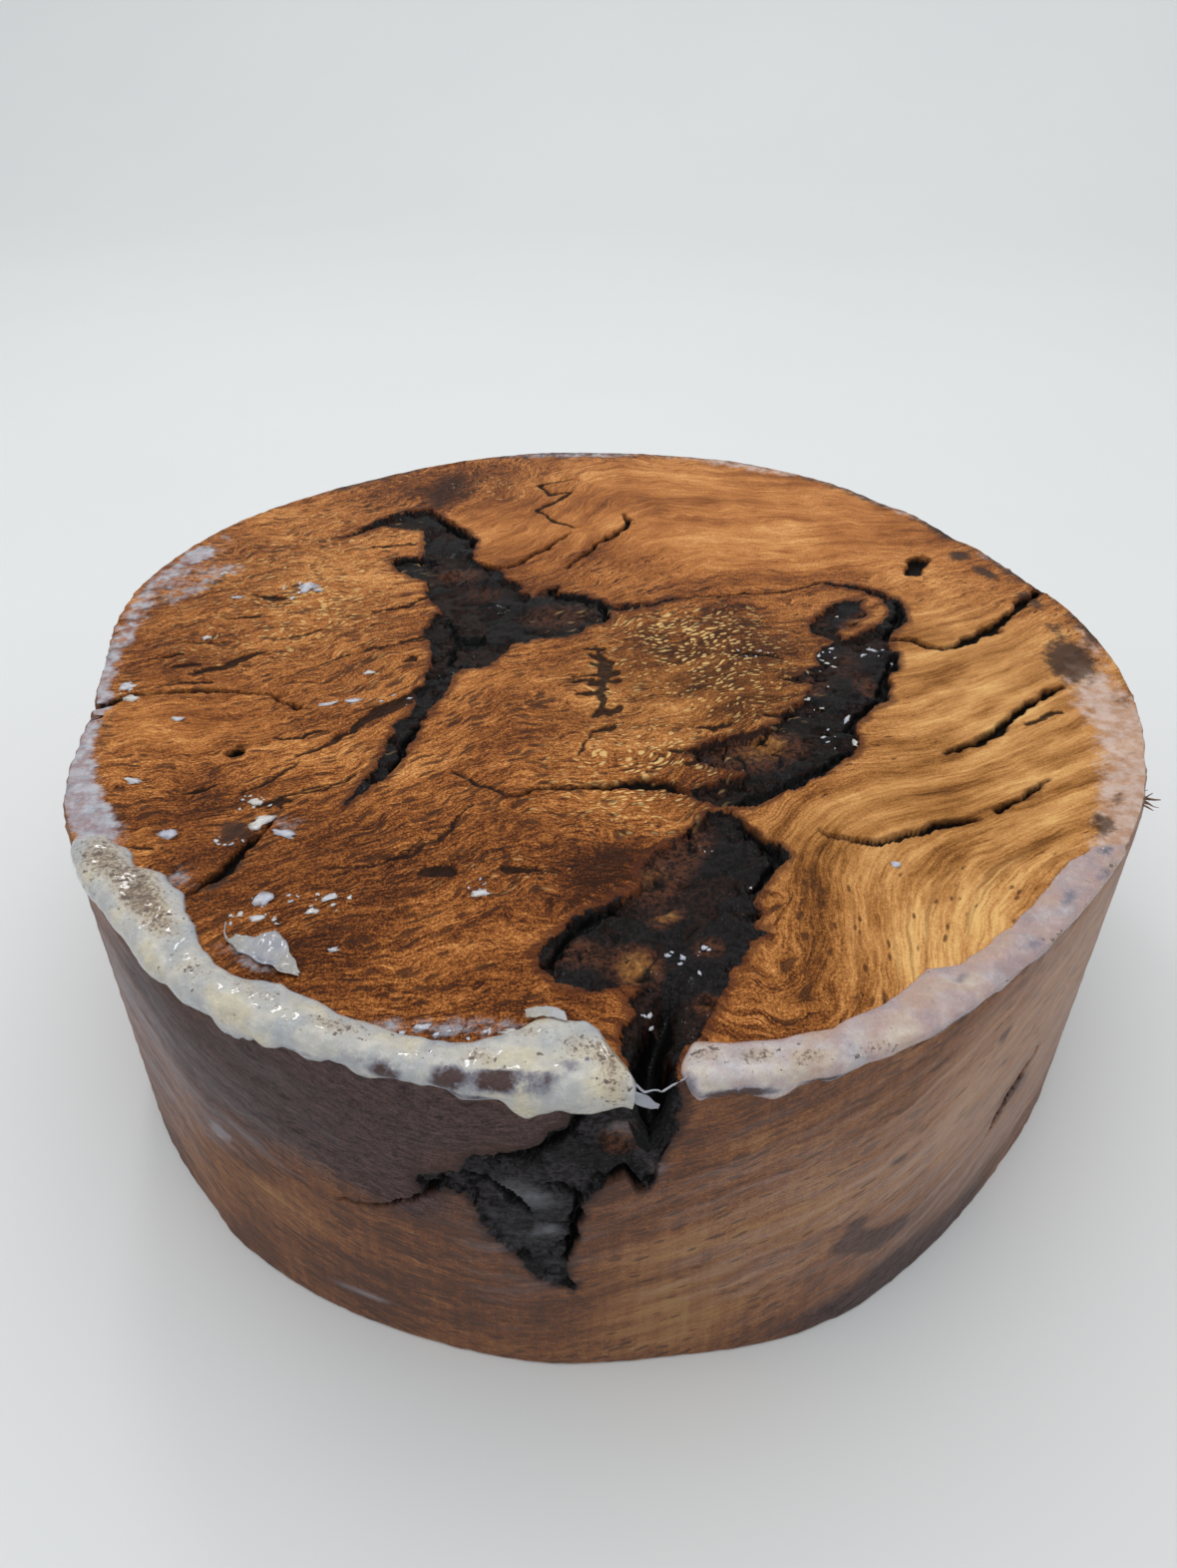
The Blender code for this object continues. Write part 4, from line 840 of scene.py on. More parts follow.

# Gum: black to dark brown, crumbly, with amber islands where it is thin over wood; near black grooves are painted
# shade
gum_mask = look.fade(gum_edge, -0.3, 0.25, 1, 0)
crumb = look.noise(where, 0.7, 5, 0.72)
shade = look.fade(crumb, 0.38, 0.62)
black_gum = look.ramp(
    crumb, (0.36, (0.0006, 0.0003, 0.0003)), (0.5, (0.005, 0.003, 0.002)), (0.64, (0.02, 0.010, 0.007)),
    (0.85, (0.08, 0.04, 0.024)))
amber_gum = look.ramp(
    look.plus(crumb, look.times(amber, 0.22)), (0.3, (0.010, 0.004, 0.002)), (0.52, (0.055, 0.020, 0.009)),
    (0.72, (0.22, 0.09, 0.024)), (0.95, (0.52, 0.25, 0.05)))
slate_gum = look.mix(shade, (0.002, 0.001, 0.001), (0.014, 0.012, 0.013))
brown_gum = look.mix(shade, (0.006, 0.002, 0.002), (0.052, 0.022, 0.016))
side_gum = look.mix(
    look.times(shade, look.fade(block, 0.1, 0.9, 0.3, 1)), (0.0015, 0.001, 0.001), (0.040, 0.037, 0.042))
red_gum = look.mix(shade, (0.009, 0.003, 0.002), (0.095, 0.034, 0.017))
fibres = look.reckon("MAXIMUM", look.fade(amber, 0.5, 0.8, 0, 0.6), look.fade(gold, 0.2, 0.5, 0, 0.8))
gum_colour = look.coats(
    black_gum, (look.fade(block, 0.5, 0.7, 0.85, 0), slate_gum),
    (look.times(look.fade(block, 0.7, 0.78, 0, 0.8), look.fade(amber, 0, 0.3, 0.4, 1)), brown_gum),
    (look.times(wall, 0.8), side_gum),
    (look.fade(amber, 0.1, 0.4), look.mix(look.fade(amber, 0.42, 0.75), red_gum, amber_gum)),
    (look.times(look.fade(dash, 0.3, 0.12), fibres), (0.36, 0.22, 0.09)),
    (look.fade(seam, 0.5, 1.5, top_or_side(0.8, 0), 0), (0.024, 0.009, 0.005)),
    # painted shade: near black down the middle of the grooves between blocks and in cracks through the gum
    (look.fade(seam, 0.25, top_or_side(0.95, 1.3), 0.95, 0), (0.001, 0.0005, 0.0005)),
    (look.fade(crack_edge, -0.3, 0.5, 1, 0), (0.002, 0.002, 0.002)))

# A thin skin of sealing wax: bluish white on the left of the rim, pink on the right, milky on the sides;
# on the left side the bluish white is partly painted reflection of the pale sky
veil_along = look.noise(look.vector("MULTIPLY", grain, (0.12, 0.12, 0.8)), 0.34, 4, 0.6)
veil = look.blend(wall, look.noise(where, 0.28, 4, 0.65), look.plus(look.times(veil_along, 0.5), 0.25))
film_share = look.times(
    look.fade(look.plus(look.times(veil, 0.9), look.times(film_and_sheen, 0.75)), 0.62, 1.05),
    look.fade(film_and_sheen, 0.02, 0.3), top_or_side(0.82, 0.42), look.fade(crack_edge, -0.2, 0.4),
    look.fade(stain_edge, 0.3, 0.9, 1, top_or_side(0.2, 0.45)),
    look.fade(gum_mask, 0, 1, 1, top_or_side(0.35, 0.6)))
pink_side = look.fade(look.put("SeparateXYZ", Vector=where).outputs["X"], -20, 60)
thick_veil = look.fade(veil, 0.35, 0.65)
# bluish white on the left: wax, and partly painted reflection of the sky
skin_and_sheen_colour = look.mix(pink_side, look.mix(thick_veil, (0.34, 0.28, 0.31), (0.52, 0.56, 0.62)),
                       look.mix(thick_veil, (0.49, 0.30, 0.21), (0.64, 0.50, 0.44)))
colour = look.coats(colour, (gum_mask, gum_colour), (film_share, skin_and_sheen_colour))
look.give(surface.inputs["Base Color"], colour)

# Finish: damp and satin on the wood, with sparse wet glints on the gum, waxy on the thin skin of wax
rough = look.plus(look.fade(grit, 0.3, 0.7, 0.34, 0.52), look.times(wall, 0.06))
rough = look.blend(gum_mask, rough, look.fade(crumb, 0.35, 0.7, 0.4, 0.65))
look.give(surface.inputs["Roughness"], look.blend(film_share, rough, 0.33))
look.give(surface.inputs["Coat Weight"], look.times(gum_mask, look.fade(grit, 0.54, 0.66, 0.02, 0.5)))
surface.inputs["Coat Roughness"].default_value = 0.1
surface.inputs["Specular IOR Level"].default_value = 0.06
raised = look.plus(look.times(fine, 0.5), look.times(grit, 0.5), look.times(pores, -0.6), look.times(flecks, 0.35))
raised = look.plus(look.times(raised, look.fade(gum_mask, 0, 1, 1, 0.3)), look.times(gum_mask, crumb))
look.bump(surface, 0.55, 0.0005, raised)
wood.data.materials.append(wood_finish)
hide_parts("burl_blank")
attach(wood, "root")


# Sealing wax on the left of the rim: brushed on thick while hot, it lies on the top, turns over the edge and
# hangs down the side in lobes. It is cream white, full of dirt, thin enough in places to show the dark wood
# through it, and torn off straight at the split.
# Stations: degrees round, lap onto the top, hang down the side, thickness, in millimetres.
WAX_LEFT = [
    (-144, 3.5, 0.8, 1.2), (-142.5, 8.6, 2.4, 1.9), (-139.5, 10.6, 3.4, 2.2), (-136.5, 12, 3.2, 2.3),
    (-133.5, 14, 3.4, 2.3), (-130.5, 13.6, 3.8, 2.3), (-127.5, 12.8, 4.2, 2.3), (-124.5, 10, 4.6, 2.2),
    (-121.5, 7.4, 4.8, 2), (-118.5, 8, 6.2, 2.1), (-115.5, 10.5, 7.2, 2.2), (-112.5, 9.2, 4.4, 2),
    (-109.5, 8.8, 3.6, 2), (-105, 8, 3.4, 1.9), (-102, 7.6, 3.4, 2), (-99, 9.4, 3.8, 2.1),
    (-96, 13.6, 4.6, 2.3), (-94.5, 16.6, 5.2, 2.4), (-91.5, 16.3, 5.6, 2.4), (-90, 15.4, 5.6, 2.4),
    (-88.9, 13.8, 5.4, 2.3), (-87.8, 7.6, 5, 2.2), (-87, 3, 4.6, 2)]
# Places on a run of wax: degrees round, millimetres outwards from the edge, half sizes, turn, strength
DIRT_LEFT = [
    (-140, -5, 3, 5, 0, 1), (-134, -7, 4, 5, 0, 1.2), (-98, -5, 1.5, 2, 0, .7), (-129, -6, 3.5, 4, 0, .9),
    (-122, -3, 2.5, 2.5, 0, .5), (-116, -5, 3, 2.5, 0, .6), (-109, -4, 3, 2.5, 0, .7),
    (-101, -3, 3, 2, 0, .35), (-91, -9, 2.2, 5, 0, .6), (-88.5, -4, 1.2, 7, 0, .9),
    (-95, -12, 1.6, 1.5, 0, .7)]
WINDOWS_LEFT = [
    (-104.2, 1.2, 1.2, 1.6, 10, .8), (-100, 0, 1.1, 1.9, 10, .82), (-96.6, -.7, 1.6, 1.3, -10, .84),
    (-98.4, -.3, 3, 1.6, 0, .3), (-93.8, -1, 1.5, 1.7, 0, .6), (-98.4, 2.6, 1.8, 1, 0, .7),
    (-106, 0, 2.4, 1.2, 0, .35), (-111, 2, 2, 1, 0, .35), (-91.6, -3.6, 1, 2.4, 0, .4),
    (-90.3, -5.2, .2, .45, 0, 1.3), (-134, 3.4, 4, 1.6, 0, .7), (-129, 4.2, 2, 1.4, 0, .6)]
UNDER_SHARE = 0.36
TORN_SLANT = 0.085


def wax_run(name, stations, rings, lumps, blunt, flat_from, seed, dirt, windows):
    """A closed roll of wax, drawn out along the rim from a sphere whose poles are its two ends."""
    run = new_piece(name, bpy.ops.mesh.primitive_uv_sphere_add, segments=52, ring_count=rings, radius=1.0)
    ball = vertex_places(run)
    share = np.arccos(np.clip(ball[:, 2], -1, 1)) / math.pi
    around = (np.arctan2(ball[:, 1], ball[:, 0]) / (2 * math.pi)) % 1.0
    degrees, *columns = np.array(stations, float).T
    at = degrees[0] + share * (degrees[-1] - degrees[0])
    lap, hang, crest = (np.interp(at, degrees, column) for column in columns)
    arc = np.column_stack([np.radians(at) * UNROLL_RADIUS, np.zeros(len(at))])
    lap = lap * (1 + 0.05 * ripple(arc, 13, seed) + 0.008 * ripple(arc, 3.5, seed + 1))
    hang = hang * (1 + 0.25 * ripple(arc, 12, seed + 2) + 0.08 * ripple(arc, 4.4, seed + 3))
    ends = np.sqrt(np.clip(np.minimum(share * 40, (1 - share) * blunt), 0, 1))
    # The under side runs along the wood, the outer side comes back over it
    under = around < UNDER_SHARE
    step = np.where(under, around / UNDER_SHARE, (around - UNDER_SHARE) / (1 - UNDER_SHARE))
    walked = np.where(under, step, 1 - step) * (lap + hang)
    outward = np.where(walked < lap, walked - lap, 0)
    height = np.where(walked < lap, 0, lap - walked)
    belly = np.sin(np.clip(np.where(under, 0, 1 - step), 0, 1) * math.pi) ** np.interp(at, flat_from, (0.5, 0.22))
    corner = np.exp(-((walked - lap) / 1.6) ** 2)
    facing_out = soft_step(walked - lap, -1.6, 1.2)
    bumps = np.column_stack([arc[:, 0], walked * 1.1, np.zeros(len(at))])
    uneven = lumps * (
        0.5 * ripple(bumps, 12, seed + 4) + 0.2 * ripple(bumps, 5, seed + 5) + 0.05 * ripple(bumps, 2.2, seed + 6))
    rise = np.where(under, -0.35, crest * belly) + np.where(under, 0, uneven * belly)
    radial = outward + rise * facing_out * 0.8 - corner * 0.25 * (~under)
    height = height + rise * (1 - facing_out)
    middle_out, middle_up = -lap * 0.35, 0.3
    radial = middle_out + (radial - middle_out) * ends
    height = middle_up + (height - middle_up) * ends
    radius = rim_radius(at) + radial
    torn = -TORN_SLANT * np.clip(-radial, 0, 16) * np.clip((share - 0.9) * 10, 0, 1)
    turn = np.radians(at + torn)
    put_vertices(run, in_place(np.column_stack([radius * np.cos(turn), radius * np.sin(turn), BLANK_HEIGHT + height])))
    edit(run, select_all, faces_outwards)
    run.data.shade_smooth()
    spread_out = np.column_stack([at, walked - lap])
    keep_value(run, "crest", np.where(under, 0, belly * crest * ends))
    keep_value(run, "dirt", area_strength(spread_out, dirt))
    keep_value(run, "window", area_strength(spread_out, windows))
    return run


# The look of wax, shared by every piece of it: milky where thick, bluish and see-through where thin
wax_look = bpy.data.node_groups.new("sealing wax look", "ShaderNodeTree")
for name, kind, value in (
        ("Thick colour", "Color", (0.5, 0.48, 0.44, 1)), ("Thin colour", "Color", (0.3, 0.28, 0.3, 1)),
        ("Thickness", "Float", 1), ("Dirt", "Float", 0), ("Window", "Float", 0)):
    wax_look.interface.new_socket(name, in_out="INPUT", socket_type="NodeSocket" + kind).default_value = value
for name, kind in (("Colour", "Color"), ("Roughness", "Float"), ("Gloss", "Float"), ("Height", "Float")):
    wax_look.interface.new_socket(name, in_out="OUTPUT", socket_type="NodeSocket" + kind)
given = wax_look.nodes.new("NodeGroupInput").outputs
thickness, dirt, window = given["Thickness"], given["Dirt"], given["Window"]
look = Look(wax_look)
where = look.millimetres()
cloud = look.noise(where, 0.14, 4, 0.62)
specks = look.noise(where, 1.1, 5, 0.72)
milk = look.noise(where, 0.4, 4, 0.65)
yellowed = look.noise(where, 0.09, 2)
blots = look.noise(where, 0.5, 3, 0.6)
cloudy = look.plus(look.swing(cloud, 1.5), look.times(thickness, 0.36))
colour = look.mix(look.fade(cloudy, 0.1, 0.9), given["Thin colour"], given["Thick colour"])
thin_milk = look.times(look.fade(milk, 0.45, 0.66), look.fade(thickness, 0.6, 1.8, 0.12, 0.3))
colour = look.mix(thin_milk, colour, given["Thin colour"])
colour = look.coats(
    colour, (look.fade(milk, 0.36, 0.54, 0.4, 0), (1.3, 1.3, 1.32)),
    (look.fade(yellowed, 0.5, 0.62, 0, 0.85), (1.08, 1.02, 0.84)),
    (look.fade(yellowed, 0.5, 0.4, 0, 0.85), (0.82, 0.87, 0.95)), how="MULTIPLY")
ragged = look.plus(window, look.swing(milk, window, 2.2), look.swing(cloud, window, 1.6))
soiled = look.plus(dirt, look.swing(cloud, 0.8))
colour = look.coats(
    colour, (look.fade(ragged, 0.12, 0.6, 0, 0.85), (0.15, 0.15, 0.20)),
    (look.fade(ragged, 0.45, 0.85, 0, 0.95), (0.048, 0.011, 0.006)),
    (look.fade(soiled, 0.2, 1, 0, 0.55), (0.45, 0.34, 0.22)),
    (look.fade(look.plus(specks, look.times(soiled, 0.19)), 0.62, 0.76, 0, 0.85), (0.15, 0.08, 0.035)),
    (look.fade(look.plus(blots, look.times(soiled, 0.12)), 0.66, 0.74, 0, 0.9), (0.085, 0.045, 0.025)))
handed_on = wax_look.nodes.new("NodeGroupOutput").inputs
look.give(handed_on["Colour"], colour)
look.give(handed_on["Gloss"], look.fade(ragged, 0.1, 0.6, 0.55, 0.04))
look.give(handed_on["Roughness"], look.fade(milk, 0.35, 0.65, 0.12, 0.38))
look.give(handed_on["Height"], look.plus(look.times(specks, 1.2), look.times(milk, 1.2), look.times(cloud, 3)))


def wax_finish(name, thick_colour, thin_colour, bump):
    """A wax material: the shared look with its own colours, on a soft glossy surface."""
    material, look, surface = new_material(name)
    group = look.tree.nodes.new("ShaderNodeGroup")
    group.node_tree = wax_look
    for socket, value in (
            ("Thick colour", thick_colour), ("Thin colour", thin_colour), ("Thickness", look.stored("crest")),
            ("Dirt", look.stored("dirt")), ("Window", look.stored("window"))):
        look.give(group.inputs[socket], value)
    for output, socket in (("Colour", "Base Color"), ("Roughness", "Roughness"), ("Gloss", "Coat Weight")):
        look.give(surface.inputs[socket], group.outputs[output])
    look.bump(surface, bump, 0.0005, group.outputs["Height"])
    for socket, value in (
            ("Subsurface Weight", 0.2), ("Subsurface Radius", (0.004, 0.003, 0.0025)), ("Subsurface Scale", 1),
            ("Specular IOR Level", 0.5), ("Coat Roughness", 0.05)):
        surface.inputs[socket].default_value = value
    return material


left_run = wax_run("wax_left", WAX_LEFT, 300, 0.6, 150, (-99, -95), 31, DIRT_LEFT, WINDOWS_LEFT)
cream_wax = wax_finish("cream sealing wax", (0.58, 0.545, 0.475), (0.41, 0.405, 0.415), 0.7)
left_run.data.materials.append(cream_wax)
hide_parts("rim_wax_left")
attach(left_run, "root")


# Sealing wax on the right of the rim: one white lump at the split, then a thinner pinkish lilac band that
# lets the wood through and has a broken lower edge.
WAX_RIGHT = [
    (-84, 7.2, 4, 1.9), (-82.5, 9.4, 5.6, 2.2), (-79.5, 8.8, 5.8, 2), (-76.5, 8.6, 5.2, 1.8),
    (-72, 8.4, 3, 1.5), (-69, 10.8, 1.8, 1.2), (-64.5, 11, 1.5, 1), (-61.5, 12.2, 1.3, .95),
    (-58.5, 9.2, 1.2, .9), (-54, 9, 1.2, .85), (-49.5, 8.6, 1.1, .8), (-43.5, 9, 1, .7), (-39, 9, .9, .6),
    (-36, 7.4, .8, .5), (-34.5, 4, .6, .4)]
DIRT_RIGHT = [
    (-82, -5, 1.6, 2.5, 0, .8), (-78.5, -4, 1.6, 2.5, 0, .9), (-75, -2, 1.6, 1.5, 0, 1),
    (-70, -1, 2, 1.5, 0, .5), (-57, 0.8, 2, 1, 0, .6), (-50, 0.4, 2, 1, 0, .7), (-44, 0.4, 2, 1, 0, .6),
    (-38, 0, 2, 2, 0, .6)]
WINDOWS_RIGHT = [
    (-80, 2.6, 2.4, 1.7, 0, 1.25), (-74, 2.4, 2, 1, 0, .7), (-83.4, 1, .6, 3, 0, .4),
    (-62, 1.1, 5, .6, 0, .6), (-48, .9, 8, .5, 0, .6), (-65, -3, 2, 2, 0, .2), (-60, -6, 1.4, 1.4, 0, .35),
    (-52, -2, 1.6, 1.6, 0, .35), (-45, -4, 1.6, 2, 0, .45), (-40, -1, 1.6, 2, 0, .5),
    (-36.5, -4, 1.2, 2, 0, .6)]
right_run = wax_run("wax_right", WAX_RIGHT, 260, 0.5, 60, (-20, -10), 51, DIRT_RIGHT, WINDOWS_RIGHT)
right_run.data.materials.append(wax_finish("lilac sealing wax", (0.56, 0.515, 0.50), (0.42, 0.28, 0.26), 0.6))
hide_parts("rim_wax_right")
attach(right_run, "root")


# Crumbs of wax: flakes and splashes that fell on the sanded top and into the gum while the rim was sealed.
# The white flakes and crumbs on the gum right of the middle are painted glints of its wet surface.
# Chips have a place, length, width and turn; patches have a place, half sizes and a number of small crumbs.
WAX_CHIPS_AND_GLINTS = [
    (-98.6, -83.7, 4.6, 3, -35), (-78.5, -78.8, 6, 3.6, 50), (-71.8, -83.1, 6.5, 2.4, -25),
    (-81.5, -71.6, 3.4, 2.4, 10), (-71.6, -105.3, 4.4, 3.6, 70), (-71.9, -111.2, 2.6, 2, 20),
    (-57.6, -104.5, 3.8, 1.8, 35), (-60.6, -108.9, 3, 1.8, 10), (-25, -102.3, 3.4, 2.4, 15),
    (-129, -21, 5, 3.4, 40), (-126, -27, 4, 3, 0), (-110.6, -36.4, 3, 2.4, 0), (-114.4, 6, 3, 2, 30),
    (-92, 38, 6.4, 5, 60), (-88, 36, 3, 2, 0), (-113.5, -63.7, 5.4, 2, -30), (-72, -28, 5, 1.6, 20),
    (-66, -26.5, 4, 1.6, 15), (-64, -12, 3, 2, 0), (-54.1, -120.1, 2.4, 1.6, 0), (-16, -141.2, 4, 1.2, 5),
    (-33, -140.5, 4, 1.6, 20), (67, -91, 2.4, 1.8, 0), (-112, 31, 3.4, 1.6, 10), (-120, 47, 3, 1.6, 20),
    # The last eight chips, on the gum right of the middle, are painted glints: white flakes where the wet gum shone
    (63.6, .2, 4.4, 2.2, 50), (79.4, 6.8, 4, 1.4, -30), (66, -30.2, 3.8, 1.3, 70),
    (56.5, -21.4, 3.2, 1.2, 20), (76, 2.6, 2.4, .9, 40), (66.4, -42, 3, 1.6, -60), (72.9, 26.5, 2.6, .9, 10),
    (84, 1, 2.2, .9, 80)]
CRUMB_AND_GLINT_PATCHES = [
    # The patches at (66, 0), (79, 6), (62, -34) and (62, -12) are painted glints on the wet gum
    (66, 0, 5, 6, 10), (79, 6, 3, 4, 4), (62, -34, 4, 12, 9), (19, -121, 5, 5, 7), (22.8, -117, 1.6, 1.4, 3),
    (-81, -72, 5, 3, 9), (-83.5, -86, 4, 2, 6), (-71, -108, 7, 5, 14), (-58, -106, 5, 3, 6),
    (-26, -100, 3, 3, 3), (44, 1, 5, 2, 5), (-95, 36, 8, 6, 6), (-128, -24, 4, 4, 6), (-30, -142, 12, 1.5, 8),
    (10, -140, 3, 6, 4), (62, -12, 4, 6, 5), (30, -90, 6, 8, 4), (-60, -20, 10, 8, 4)]
CHIP_THICKNESS, CHIP_DOMING, CRUMB_DOMING = 0.12, 0.16, 0.1
crumb_chance = np.random.default_rng(71)
crumbs = [(*chip, CHIP_DOMING) for chip in WAX_CHIPS_AND_GLINTS]
for x, y, half_width, half_depth, count in CRUMB_AND_GLINT_PATCHES:
    for _ in range(count):
        size = crumb_chance.uniform(0.4, 1.7)
        spot_x, spot_y = crumb_chance.uniform(-1, 1, 2) * (half_width, half_depth)
        crumbs.append((x + spot_x, y + spot_y, size, size * crumb_chance.uniform(0.35, 0.85),
                       crumb_chance.uniform(0, 180), CRUMB_DOMING))


def copies_of(piece, count):
    """The piece and copies of it, each with its own mesh."""
    pieces = [piece]
    while len(pieces) < count:
        bpy.ops.object.duplicate()
        pieces.append(bpy.context.object)
    return pieces


def join(pieces):
    for piece in pieces:
        piece.select_set(True)
    bpy.context.view_layer.objects.active = pieces[0]
    bpy.ops.object.join()
    pieces[0].data.shade_smooth()


def keep_wax_values(piece, crest, dirt):
    for name, value in (("crest", crest), ("dirt", dirt), ("window", 0)):
        keep_value(piece, name, np.full(len(piece.data.vertices), value))


chip = new_piece("wax_crumbs_and_glints", bpy.ops.mesh.primitive_ico_sphere_add, subdivisions=2, radius=1.0)
unit_ball = vertex_places(chip)
chips = copies_of(chip, len(crumbs))
top_points = places[top_face]
for number, (piece, (x, y, length, width, angle, doming)) in enumerate(zip(chips, crumbs)):
    lumpy = unit_ball * (1 + 0.45 * ripple(unit_ball, 1.1, 200 + number))[:, None]
    flake = lumpy * (length / 2, width / 2, CHIP_THICKNESS + doming * width)
    cosine, sine = math.cos(math.radians(angle)), math.sin(math.radians(angle))
    height = top_points[np.argmin((top_points[:, 0] - x) ** 2 + (top_points[:, 1] - y) ** 2), 2]
    put_vertices(piece, in_place(np.column_stack([
        x + flake[:, 0] * cosine - flake[:, 1] * sine, y + flake[:, 0] * sine + flake[:, 1] * cosine,
        height + flake[:, 2]])))
join(chips)
keep_wax_values(chip, 1.2, -0.4)
# The white flakes on the right gum are painted glints, standing for the shine of its wet surface
chip.data.materials.append(wax_finish("chipped wax and glints", (0.70, 0.69, 0.69), (0.52, 0.50, 0.56), 0.5))
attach(chip, "root")


# Strings and skins of wax: drawn out while it was hot, they lie over the top beside the thick run and across
# the split, and one flake stands up at the torn corner. Each is a thin sheet between two routes of points:
# x, y and the height over the top.
WAX_SKINS = {
    "wax_string": ([(-77.8, -112.6, .4), (-76.6, -117.8, .6), (-71, -121.6, .6), (-65, -124.6, .5),
        (-59.6, -127.6, .5)], [(-77.4, -113, .4), (-75.8, -119.2, .5), (-70.4, -123, .5), (-64.4, -126.2, .5),
        (-59, -128.2, .5)]),
    "wax_skin": ([(-74.8, -116.4, .3), (-70.5, -117.6, .5), (-66.6, -115.6, .9), (-63.6, -118.8, 1.1),
        (-61.5, -123.4, .8), (-59, -127.4, .5)], [(-76.2, -118.6, .3), (-72.8, -121.6, .4), (-69, -123.2, .5),
        (-65.6, -124.8, .5), (-62.6, -126.4, .5), (-59.6, -127.8, .4)]),
    "wax_flake": ([(-13.5, -137.4, 1.5), (-11, -136.6, 2.3), (-8.6, -137, 2.5), (-6, -138, 2.2)],
        [(-13.2, -138.8, 1.1), (-10.6, -139.2, 1.9), (-8.2, -139.6, 2.1), (-5.6, -140, 1.9)]),
    "split_string": ([(7, -153.6, .8), (9, -154.2, -.6), (12, -153.4, -1.6), (15, -152.4, -.8),
        (17, -151.8, .8)], [(7, -153.9, .8), (9, -154.6, -.6), (12, -153.7, -1.6), (15, -152.7, -.8),
        (17, -152.2, .8)]),
    "corner_skin": ([(6.4, -154.4, 0), (8.6, -154.6, -.8), (10.6, -154.8, -2.4), (12, -154.6, -4)],
        [(6.8, -155.3, -2.4), (8.8, -155.4, -3), (10.4, -155.2, -4), (11.6, -154.9, -5)])}
SKIN_THICKNESS = 0.26
SKIN_WAVE, SKIN_BUMP = 0.3, 0.12
skins = []
for name, (first, second) in WAX_SKINS.items():
    skin = new_piece(name, bpy.ops.mesh.primitive_grid_add, x_subdivisions=40, y_subdivisions=8, size=2)
    unit = vertex_places(skin)
    along_it, across_it = (unit[:, 0] + 1) / 2, (unit[:, 1] + 1) / 2
    edges = []
    for route in (first, second):
        at = np.linspace(0, 1, len(route))
        edges.append(np.column_stack([np.interp(along_it, at, axis) for axis in np.array(route, float).T]))
    sheet = edges[0] + (edges[1] - edges[0]) * across_it[:, None]
    sheet[:, :2] += SKIN_WAVE * np.column_stack([ripple(sheet, 4, 300), ripple(sheet, 4, 301)])
    sheet[:, 2] += BLANK_HEIGHT + SKIN_BUMP * ripple(sheet[:, :2], 2.5, 302)
    put_vertices(skin, in_place(sheet))
    thicken = skin.modifiers.new("thickness", "SOLIDIFY")
    thicken.thickness = SKIN_THICKNESS * MM
    thicken.offset = 0.0
    bpy.ops.object.modifier_apply(modifier="thickness")
    edit(skin, select_all, faces_outwards)
    skin.data.shade_smooth()
    keep_wax_values(skin, 0.5, -0.5)
    skins.append(skin)
skin_wax = wax_finish("drawn wax skin", (0.52, 0.52, 0.54), (0.33, 0.32, 0.345), 0.5)
for skin in skins:
    skin.data.materials.append(cream_wax if skin.name == "wax_flake" else skin_wax)
    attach(skin, "root")


# A scrap of bark fibre: a few splinters left on the right of the rim, where the saw left the bark edge.
# Each has a foot, a tip and a half width.
SPLINTERS = [
    ((131, -63.2, 97.9), (135.6, -65.6, 98.8), 0.6), ((131.2, -64.4, 97.7), (134.6, -67.6, 98), 0.5),
    ((130.8, -65.4, 98), (133.8, -64, 99.8), 0.45), ((131.4, -62, 97.8), (134.4, -61.2, 98.2), 0.4),
    ((130.8, -66.6, 98), (132.6, -69.4, 98.6), 0.45)]
splinter = new_piece("bark_scrap", bpy.ops.mesh.primitive_cone_add, vertices=8, radius1=1.0, radius2=0.25, depth=1.0)
edit(splinter, select_all, lambda: bpy.ops.mesh.subdivide(number_cuts=3))
unit_cone = vertex_places(splinter)
splinters = copies_of(splinter, len(SPLINTERS))
for number, (piece, (foot, tip, half_width)) in enumerate(zip(splinters, SPLINTERS)):
    foot, tip = Vector(foot), Vector(tip)
    lean = (tip - foot).to_track_quat("Z", "Y").to_matrix()
    shaped = unit_cone * (half_width, half_width * 0.6, (tip - foot).length)
    shaped[:, 2] += (tip - foot).length / 2
    shaped[:, :2] += 0.2 * np.column_stack([ripple(shaped, 3, 400 + number), ripple(shaped, 3, 420 + number)])
    put_vertices(piece, in_place(shaped @ np.array(lean).T + np.array(foot)))
join(splinters)
bark_finish, look, surface = new_material("torn bark fibre")
fibres = look.noise(look.vector("MULTIPLY", look.millimetres(), (0.4, 1, 1.6)), 1.4, 4, 0.7)
look.give(surface.inputs["Base Color"], look.ramp(fibres, (0.3, (0.03, 0.014, 0.008)), (0.75, (0.26, 0.13, 0.07))))
look.give(surface.inputs["Roughness"], look.fade(fibres, 0.3, 0.7, 0.85, 0.6))
look.bump(surface, 0.5, 0.0004, fibres)
splinter.data.materials.append(bark_finish)
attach(splinter, "root")


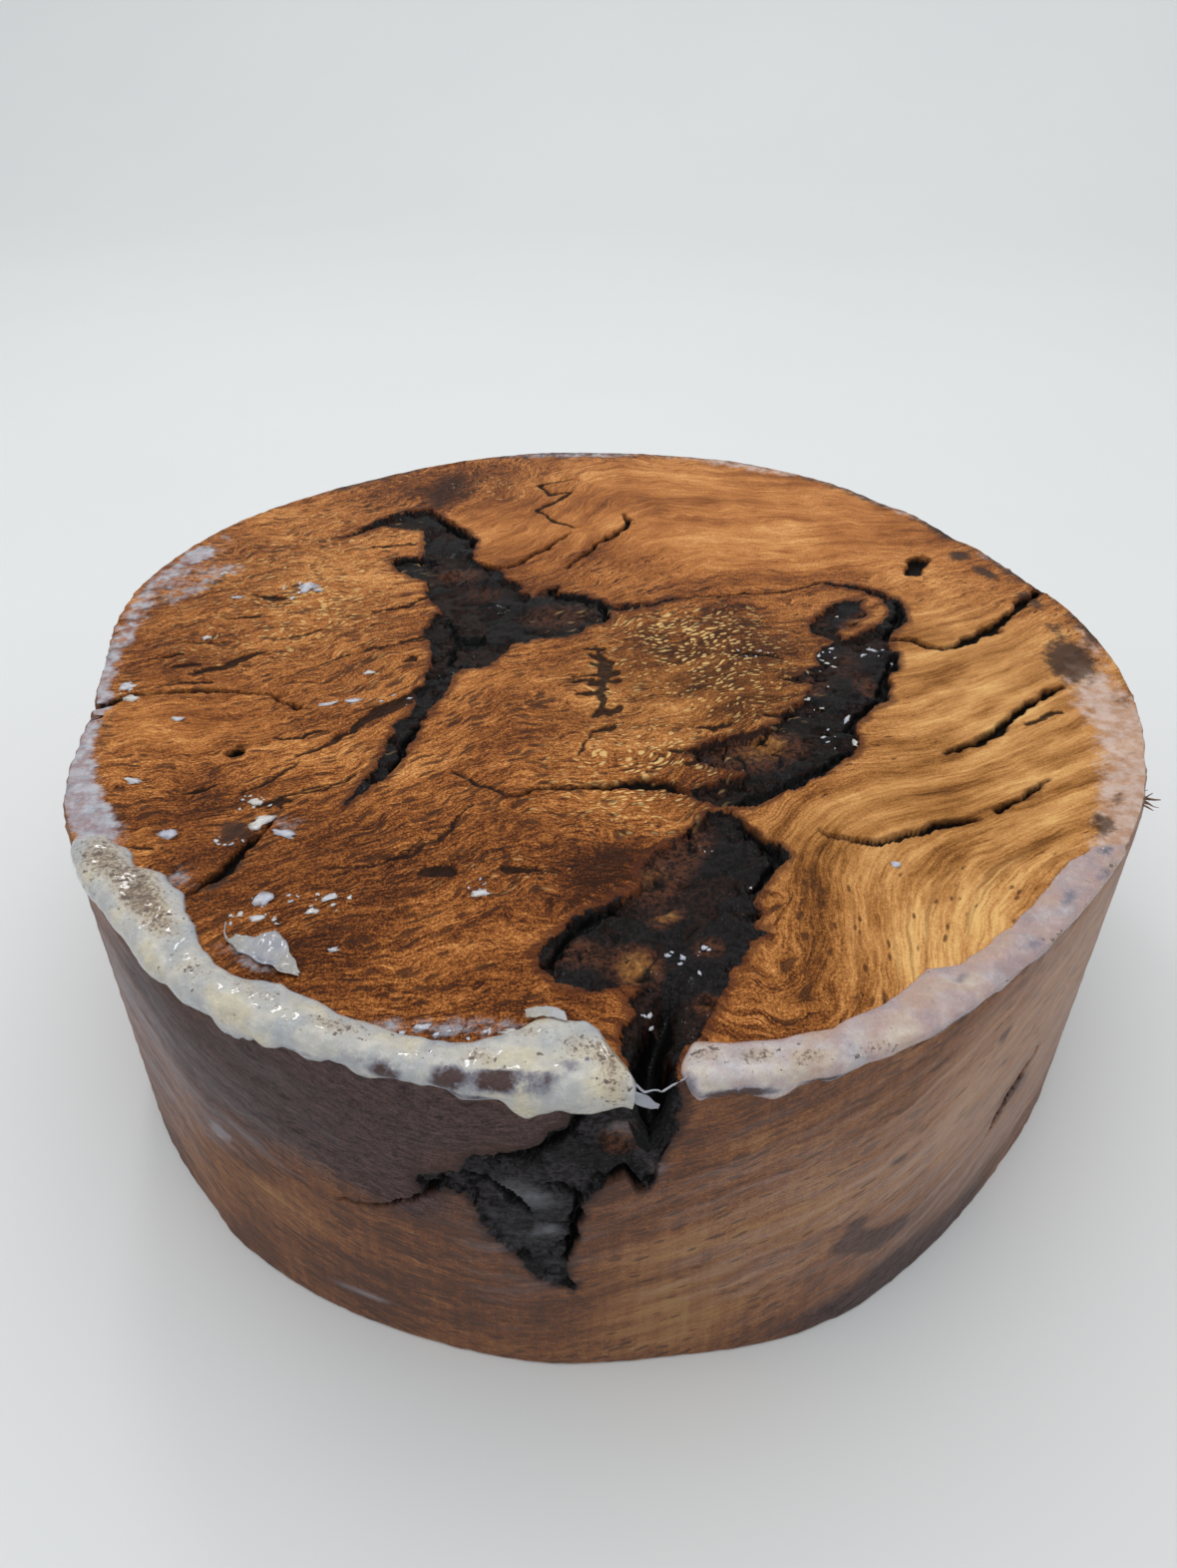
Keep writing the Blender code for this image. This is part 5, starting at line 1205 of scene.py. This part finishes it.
# The floor is one pale sheet that rises behind the blank as a plain backdrop. Sizes are in metres.
FLOOR_FRONT, FLOOR_LENGTH, FLOOR_HALF_WIDTH = -6.0, 8.6, 20.0
FLAT_LENGTH, CURVE_LENGTH, BACKDROP_LEAN = 7.0, 0.9, math.radians(78)
floor = new_piece("floor", bpy.ops.mesh.primitive_grid_add, x_subdivisions=2, y_subdivisions=120, size=2)
sheet = vertex_places(floor)
run_back = (sheet[:, 1] + 1) / 2 * FLOOR_LENGTH
turned = np.clip(run_back - FLAT_LENGTH, 0, CURVE_LENGTH) / CURVE_LENGTH * BACKDROP_LEAN
curve_radius = CURVE_LENGTH / BACKDROP_LEAN
beyond = np.clip(run_back - FLAT_LENGTH - CURVE_LENGTH, 0, None)
floor_y = FLOOR_FRONT + np.minimum(run_back, FLAT_LENGTH) + curve_radius * np.sin(turned)
floor_y += beyond * math.cos(BACKDROP_LEAN)
floor_z = curve_radius * (1 - np.cos(turned)) + beyond * math.sin(BACKDROP_LEAN)
put_vertices(floor, np.column_stack([sheet[:, 0] * FLOOR_HALF_WIDTH, floor_y, floor_z]))
floor.data.shade_smooth()
floor_finish, look, surface = new_material("pale floor")
floor_tone = look.noise(look.millimetres(), 0.004)
look.give(surface.inputs["Base Color"], look.mix(floor_tone, (0.765, 0.77, 0.77), (0.81, 0.81, 0.80)))
surface.inputs["Roughness"].default_value = 0.45
surface.inputs["Specular IOR Level"].default_value = 0.3
floor.data.materials.append(floor_finish)


# Light: a wide soft panel above, a weaker one behind for the sheen on the top, a small one for the glints on
# the wax, and an even pale sky.
def soft_panel(name, place, aim, size, power):
    bpy.ops.object.light_add(type="AREA")
    panel = bpy.context.object
    panel.name = name
    panel.data.shape = "RECTANGLE"
    panel.data.size, panel.data.size_y = size
    panel.data.energy = power
    panel.location = place
    panel.rotation_euler = (Vector(aim) - Vector(place)).to_track_quat("-Z", "Y").to_euler()


soft_panel("panel_above", (-0.1, 0, 1.5), (0, 0, 0), (1.8, 1.6), 9.0)
soft_panel("panel_behind", (0.3, 1.5, 0.9), (0, 0, 0.05), (1.8, 0.8), 1.5)
soft_panel("panel_glint", (-0.30, 0.60, 0.92), (0, 0, 0.09), (0.14, 0.09), 0.8)
world = bpy.data.worlds.new("pale sky")
world.use_nodes = True
world.node_tree.nodes["Background"].inputs["Color"].default_value = (0.93, 0.97, 1.0, 1.0)
world.node_tree.nodes["Background"].inputs["Strength"].default_value = 0.7
bpy.context.scene.world = world
